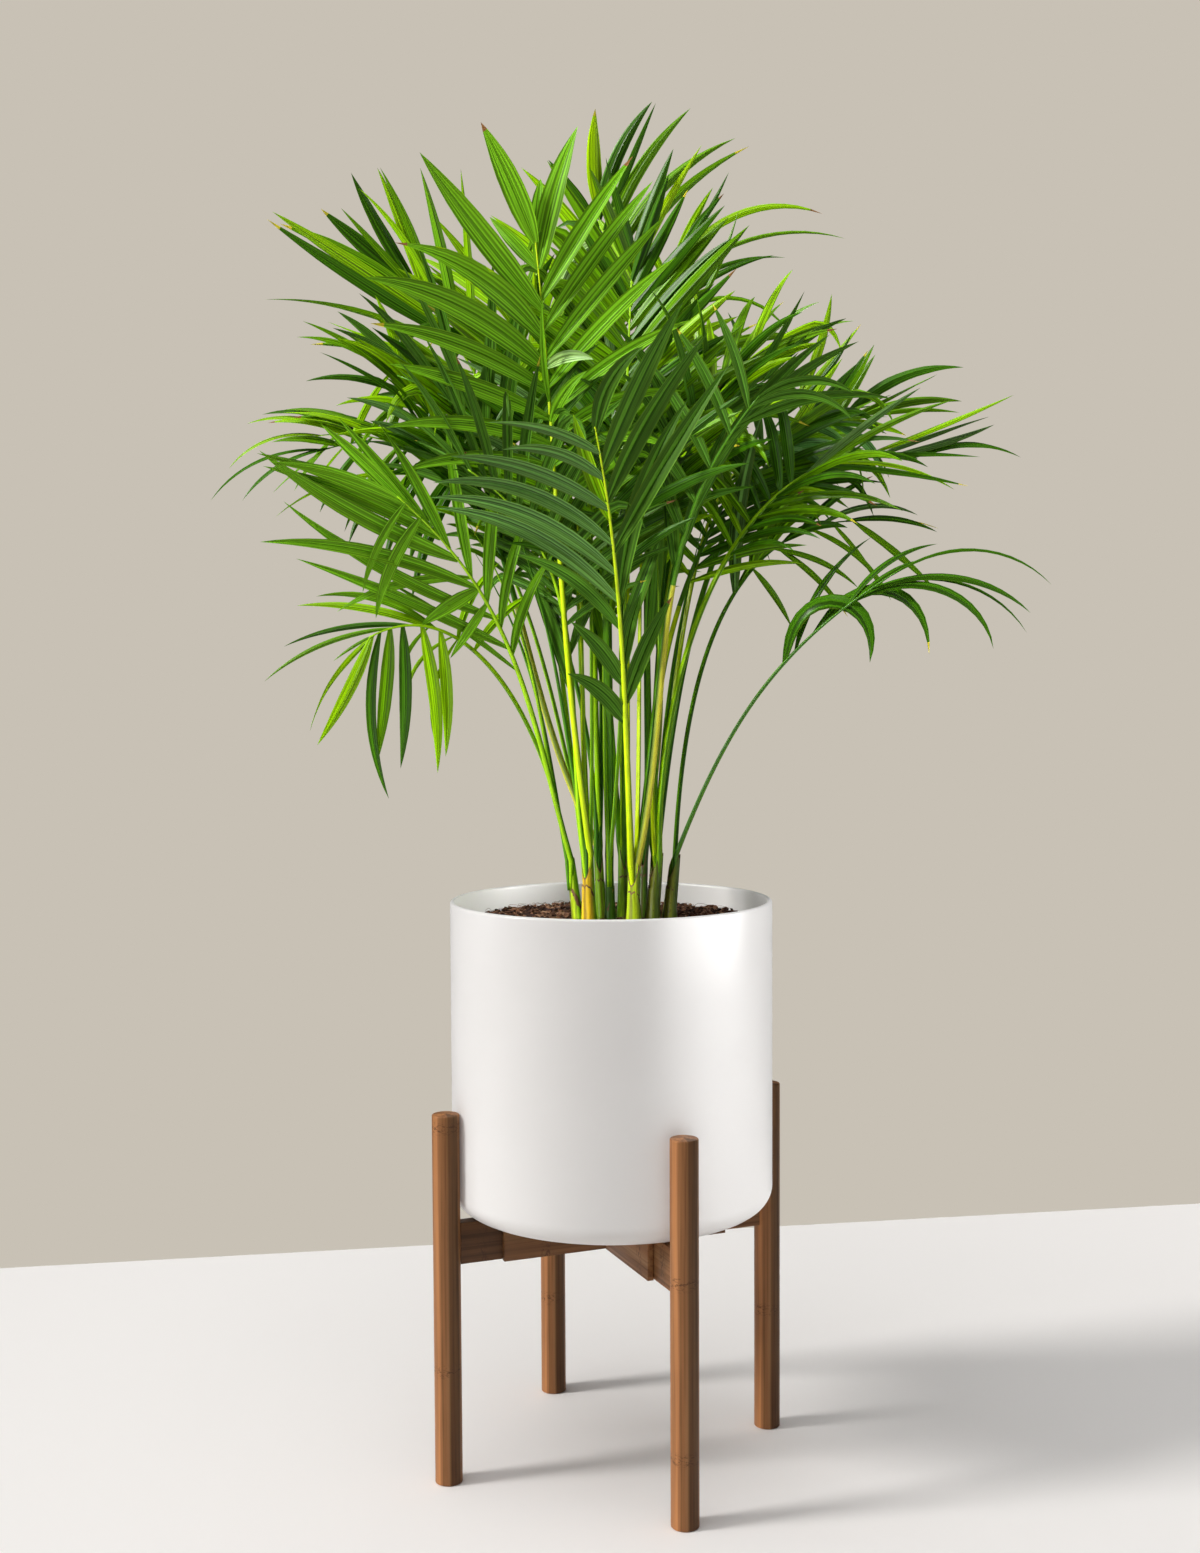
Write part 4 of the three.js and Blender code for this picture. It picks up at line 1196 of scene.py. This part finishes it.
def makeLeafMaterial(name, colour):
    s = leafStyle
    matte = name.startswith(("under", "tip"))
    material, tree, shader = newMaterial(name)
    place = leafPlace(tree)
    streak = addGrain(tree, place, (0.6, 10, 1), 1)
    cloud = addGrain(tree, place, (1.1, 1.5, 1))
    tone = addRamp(tree, streak, [(0.38, scaled(colour, 0.42)), (0.5, colour), (0.62, scaled(colour, 2.0))])
    lighter = (colour[0] * 1.7, colour[1] * 1.35, colour[2])
    tone = addMix(tree, addRange(tree, cloud, 0.35, 0.75, 0, 0.4), tone, lighter)
    tone = addMix(tree, addRange(tree, addMargin(tree, place), 0, 0.05, 0.22, 0), tone, s["margin"])
    roughness = s["roughness"] + (s["matteRoughness"] if matte else 0)
    gloss = s["sheen"] * (s["matteSheen"] if matte else 1)
    veins = addGrain(tree, place, (2, 2.5, 1), 1)
    setFinish(tree, shader, tone, roughness, gloss, veins, strength=0.2, distance=0.0008)
    return material


def profileAt(share):
    return float(np.interp(share, *zip(*leafStyle["profile"])))


def walk(point, length, wayAt):
    # steps from the leaflet's foot along the direction that wayAt gives at each share of its length
    steps = leafStyle["steps"]
    path, ways = [point], [wayAt(0)]
    for k in range(1, steps + 1):
        path.append(path[-1] + ways[-1] * length / steps)
        ways.append(wayAt(k / steps))
    return np.array(path), np.array(ways)


def guideOf(above, strength):
    # the way that a blade's face points: out of the frond, and a little to the front or the back
    return unit(above + np.array([0, strength if above[1] > 0.1 else -strength, 0]))


def leafletPath(limb, place, side, seed, attempt):
    g = growth
    moreSpread, moreLift, lengthFactor = attempt
    point, along, across, above = limb.ribAt(place)
    spread = mixed(g["basalSpread"], g["tipSpread"], place ** g["spreadPower"])
    spread = math.radians(spread + 2 * g["spreadRange"] * (wobble(seed) - 0.5) + moreSpread)
    lift = math.radians(g["lift"] + 2 * g["liftRange"] * (wobble(seed + 0.5) - 0.5) + moreLift)
    flat = along * math.cos(spread) + across * side * math.sin(spread)
    aim = flat * math.cos(lift) + above * math.sin(lift)
    chance = 1.02 + g["lengthRange"] * (wobble(seed + 0.25) - 0.6)
    length = limb.leaf * lengthShare(place) * chance * lengthFactor
    hook = 1.2 + 1.8 * wobble(seed + 0.13) if wobble(seed + 0.11) < 0.2 else 0
    bow = 0.26 * (wobble(seed + 0.17) - 0.4)

    def wayAt(share):
        drop = limb.sag * share ** g["sagPower"] + hook * 3 * max(0, share - 0.55) ** 1.3
        return unit(aim - up * drop - along * bow * share**2)

    return (*walk(point, length, wayAt), guideOf(above, 0.35))


def seenPath(limb, place, start, end, length, front):
    point, along, across, above = limb.ribAt(place)
    lean = math.radians(front)

    def wayAt(share):
        eased = share * share * (3 - 2 * share) if abs(start - end) > 120 else share**1.15
        turn = math.radians(mixed(start, end, eased))
        return np.array([math.cos(turn) * math.cos(lean), -math.sin(lean), math.sin(turn) * math.cos(lean)])

    return (*walk(point, length, wayAt), guideOf(above, 0.9))


def bladeTones(seed, tint, own):
    # material places of the upper face, the lower face and, now and then, a dry tip
    lightest = len(leafStyle["upper"]) - 1
    # the frond's tint, partly painted light and shade, sets how light this blade's green is
    green = round(tint * lightest + 2.4 * (wobble(seed + 0.61) - 0.5))
    upper = leafTones[min(lightest, max(0, green))]
    under = "underDeep" if tint < 0.5 else "underFresh"
    dry = wobble(seed + 0.71)
    tip = "tipYellow" if dry < 0.07 else "tipBrown" if dry < 0.13 else None
    if own:
        upper = under = own[0]
    return [tone and leafTones.index(tone) for tone in (upper, under, tip)]


def addBlade(pile, line, width, seed, tint, own=()):
    s = leafStyle
    path, ways, guide = line
    steps, strips = s["steps"], s["strips"]
    twist = math.radians(s["twist"]) * (wobble(seed + 0.31) - 0.5) * 2
    if wobble(seed + 0.37) < s["twistedShare"]:
        twist *= s["twistMore"]
    fold = math.radians(s["fold"] * (0.5 + 1.0 * wobble(seed + 0.41)))
    ripple = s["ripple"] * wobble(seed + 0.43)
    offset = 0.37 * (seed % 89)
    points, places = [], []
    for k in range(steps):
        share, way = k / steps, ways[k]
        face = unit(guide - way * (guide @ way))
        across = np.cross(face, way)
        turn = twist * share**1.3
        across, face = (
            across * math.cos(turn) + face * math.sin(turn),
            face * math.cos(turn) - across * math.sin(turn),
        )
        half = width / 2 * max(profileAt(share), 0.05)
        thick = s["thickness"] * mixed(1.5, 0.7, share)
        wave = ripple * half * math.sin(share * 19 + seed)
        row = []
        for j in range(strips + 1):
            u = 2 * j / strips - 1
            pleat = s["pleat"] * half * (1 if j % 2 else -1)
            lift = pleat - abs(u) * half * math.sin(fold) + u * wave
            row.append(path[k] + across * u * half * math.cos(fold) + face * lift)
        points += row + [point - face * thick for point in row[-2:0:-1]]
        places += [(share + offset, j / strips) for j in (*range(strips + 1), *range(strips - 1, 0, -1))]
    points.append(path[steps])
    places.append((1 + offset, 0.5))
    upper, under, tip = bladeTones(seed, tint, own)
    ring = 2 * strips
    faces, shades = [], []
    for k in range(steps):
        low, high, last = ring * k, ring * (k + 1), k == steps - 1
        for a in range(ring):
            b = (a + 1) % ring
            faces.append((low + b, low + a, high) if last else (low + b, low + a, high + a, high + b))
            shades.append(tip if last and tip else upper if a < strips else under)
    faces.append(tuple(range(ring)))
    shades.append(under)
    pile.add(np.array(points) * mm + potOffset, faces, shades, places)


# turns more outwards, turns more upwards and shares of the length that are tried one after another
tries = [
    (0, 0, 1), (-7, 6, 0.95), (7, -8, 0.92), (-12, -12, 0.85), (10, 14, 0.8), (-4, 22, 0.7), (0, -20, 0.6),
]
stalkTrace = {limb.name: np.array([limb.frameAt(i / 60)[0] for i in range(61)]) for limb in limbs}
cadLow, cadHigh = (np.array(corner) / mm - potOffset / mm for corner in cadBounds)


def meetsStalk(limb, path):
    for name, trace in stalkTrace.items():
        if name != limb.name:
            apart = np.linalg.norm(path[:, None, :] - trace[None, :, :], axis=2)
            if apart.min() < leafStyle["clear"]:
                return True
    return False


def staysInside(path):
    return (path > cadLow + leafStyle["inset"]).all() and (path < cadHigh - leafStyle["inset"]).all()


def makeLeaflets():
    s = leafStyle
    materials = [makeLeafMaterial(name, colour) for name, colour in toneTable.items()]
    pile, names, number, total, made = Pile(), [], 1, 0, 0
    for limb in limbs:
        limit, traced = seen.get(limb.name, (1.01, []))
        for k, (place, start, end, length, width, front, *own) in enumerate(traced):
            line = seenPath(limb, place, start, end, length, front)
            while not staysInside(line[0]):
                length *= 0.95
                line = seenPath(limb, place, start, end, length, front)
            addBlade(pile, line, width, limb.seed + 50 + 0.37 * k, limb.tint, own)
            made += 1
        pairs = round(limb.pairs * s["finer"])
        for i, side in ((i, side) for i in range(pairs) for side in (-1, 1)):
            seed = limb.seed + 2 * i + (1 if side > 0 else 0)
            place = 1 if i == pairs - 1 else (i + 0.5 + growth["stagger"] * side) / pairs
            if place > limit:
                continue
            for attempt in tries:
                line = leafletPath(limb, place, side, seed, attempt)
                if staysInside(line[0]) and not meetsStalk(limb, line[0][1:]):
                    addBlade(pile, line, limb.width * lengthShare(place), seed, limb.tint)
                    made += 1
                    break
        names.append(limb.name)
        if pile.triangles() > s["bigPiece"] or limb is limbs[-1]:
            pieceName = "leaflets_" + str(number)
            mesh = pile.makeMesh(pieceName)
            mesh.set_sharp_from_angle(angle=math.radians(50))
            addObject(pieceName, mesh, materials, names, "leaf")
            total += pile.triangles()
            pile, names, number = Pile(), [], number + 1
    print("leaflets grown,", made, "leaflets,", total, "triangles")


makeLeaflets()


# Stage: a plain pale floor, a plain backdrop colour and soft studio light

stageStyle = {
    "floorColour": (0.945, 0.92, 0.90),
    "floorRoughness": 0.8,
    "floorCorners": [(-4.0, 0.010), (4.0, 1.33), (4.0, -4.0), (-4.0, -4.0)],
    "floorDrop": 0.0002,
    "backdrop": (0.578, 0.533, 0.462),
    "surround": (0.12, 0.118, 0.115),
    # where each lamp shines from, its angle and power, and the slots that it reaches if not all
    "lights": {
        "keyLight": {"from": (-2.3, -0.6, 1.5), "soft": 13, "power": 2.0, "colour": (1, 0.985, 0.965)},
        "topLight": {
            "from": (-0.25, -0.25, 1.6), "soft": 60, "power": 1.52,
            "for": ("floor", "pot", "stand_wood", "soil"),
        },
        "leafTop": {
            "from": (-0.4, -0.4, 1.6), "soft": 40, "power": 0.8, "colour": (1, 1, 0.98),
            "for": ("leaf", "cane"),
        },
        "leafKey": {
            "from": (-2.1, -1.0, 1.9), "soft": 7, "power": 2.5, "colour": (1, 0.99, 0.94),
            "for": ("leaf", "cane", "soil"),
        },
        "stalkKey": {
            "from": (-1.5, -1.4, 0.45), "soft": 10, "power": 1.7, "colour": (1, 1, 0.97), "for": ("cane",),
        },
        "leafSide": {"from": (1.0, -0.6, 0.5), "soft": 40, "power": 0.75, "for": ("leaf",)},
        "potLeft": {"from": (-1.0, 0.15, 0.3), "soft": 40, "power": 0.7, "for": ("pot",)},
        "potSide": {"from": (1.0, -0.05, 0.3), "soft": 40, "power": 2.2, "for": ("pot",)},
        "potGloss": {"from": (1.0, -0.38, 0.12), "soft": 66, "power": 8, "for": ("pot",), "glossOnly": True},
    },
}


def makeFloor():
    s = stageStyle
    material, tree, shader = newMaterial("paleFloor")
    feed(tree, shader.inputs["Base Color"], s["floorColour"])
    feed(tree, shader.inputs["Roughness"], s["floorRoughness"])
    corners = [(potMiddle.x + x, potMiddle.y + y, -s["floorDrop"]) for x, y in reversed(s["floorCorners"])]
    bm = bmesh.new()
    bm.faces.new([bm.verts.new(corner) for corner in corners])
    mesh = bpy.data.meshes.new("floor")
    bm.to_mesh(mesh)
    bm.free()
    mesh.materials.append(material)
    floor = bpy.data.objects.new("floor", mesh)
    floor["part"] = "floor"
    pieces.append(floor)
    bpy.context.scene.collection.objects.link(floor)


def makeBackdrop():
    # the camera sees the wall's tone, and the pieces are lit by a dimmer one
    world = bpy.data.worlds.new("backdrop")
    world.use_nodes = True
    tree = world.node_tree
    wall = tree.nodes["Background"]
    feed(tree, wall.inputs["Color"], stageStyle["backdrop"])
    around = addNode(tree, "ShaderNodeBackground", Color=stageStyle["surround"])
    direct = addNode(tree, "ShaderNodeLightPath").outputs["Is Camera Ray"]
    both = addNode(tree, "ShaderNodeMixShader")
    for socket, source in zip(both.inputs, (direct, around.outputs[0], wall.outputs[0])):
        feed(tree, socket, source)
    feed(tree, tree.nodes["World Output"].inputs["Surface"], both.outputs[0])
    bpy.context.scene.world = world


def addLamp(name, light):
    data = bpy.data.lights.new(name, "SUN")
    data.angle, data.energy = math.radians(light["soft"]), light["power"]
    data.color = light.get("colour", (1, 1, 1))
    lamp = bpy.data.objects.new(name, data)
    lamp.location = potMiddle + Vector(light["from"])
    lamp.rotation_mode = "QUATERNION"
    lamp.rotation_quaternion = (-Vector(light["from"])).to_track_quat("-Z", "Y")
    lamp.visible_diffuse = "glossOnly" not in light
    bpy.context.scene.collection.objects.link(lamp)
    if "for" in light:
        lit = bpy.data.collections.new(name + "Reach")
        for piece in pieces:
            if piece["part"] in light["for"]:
                lit.objects.link(piece)
        lamp.light_linking.receiver_collection = lit
        if light["for"] == ("pot",):
            lamp.light_linking.blocker_collection = lit


def makeStage():
    makeFloor()
    makeBackdrop()
    for name, light in stageStyle["lights"].items():
        addLamp(name, light)
    scene = bpy.context.scene
    scene.view_settings.view_transform = "Standard"
    # with the light tree, linked lamps came out brighter or dimmer from one render to the next
    scene.cycles.use_light_tree = False


makeStage()
print("stage lit")
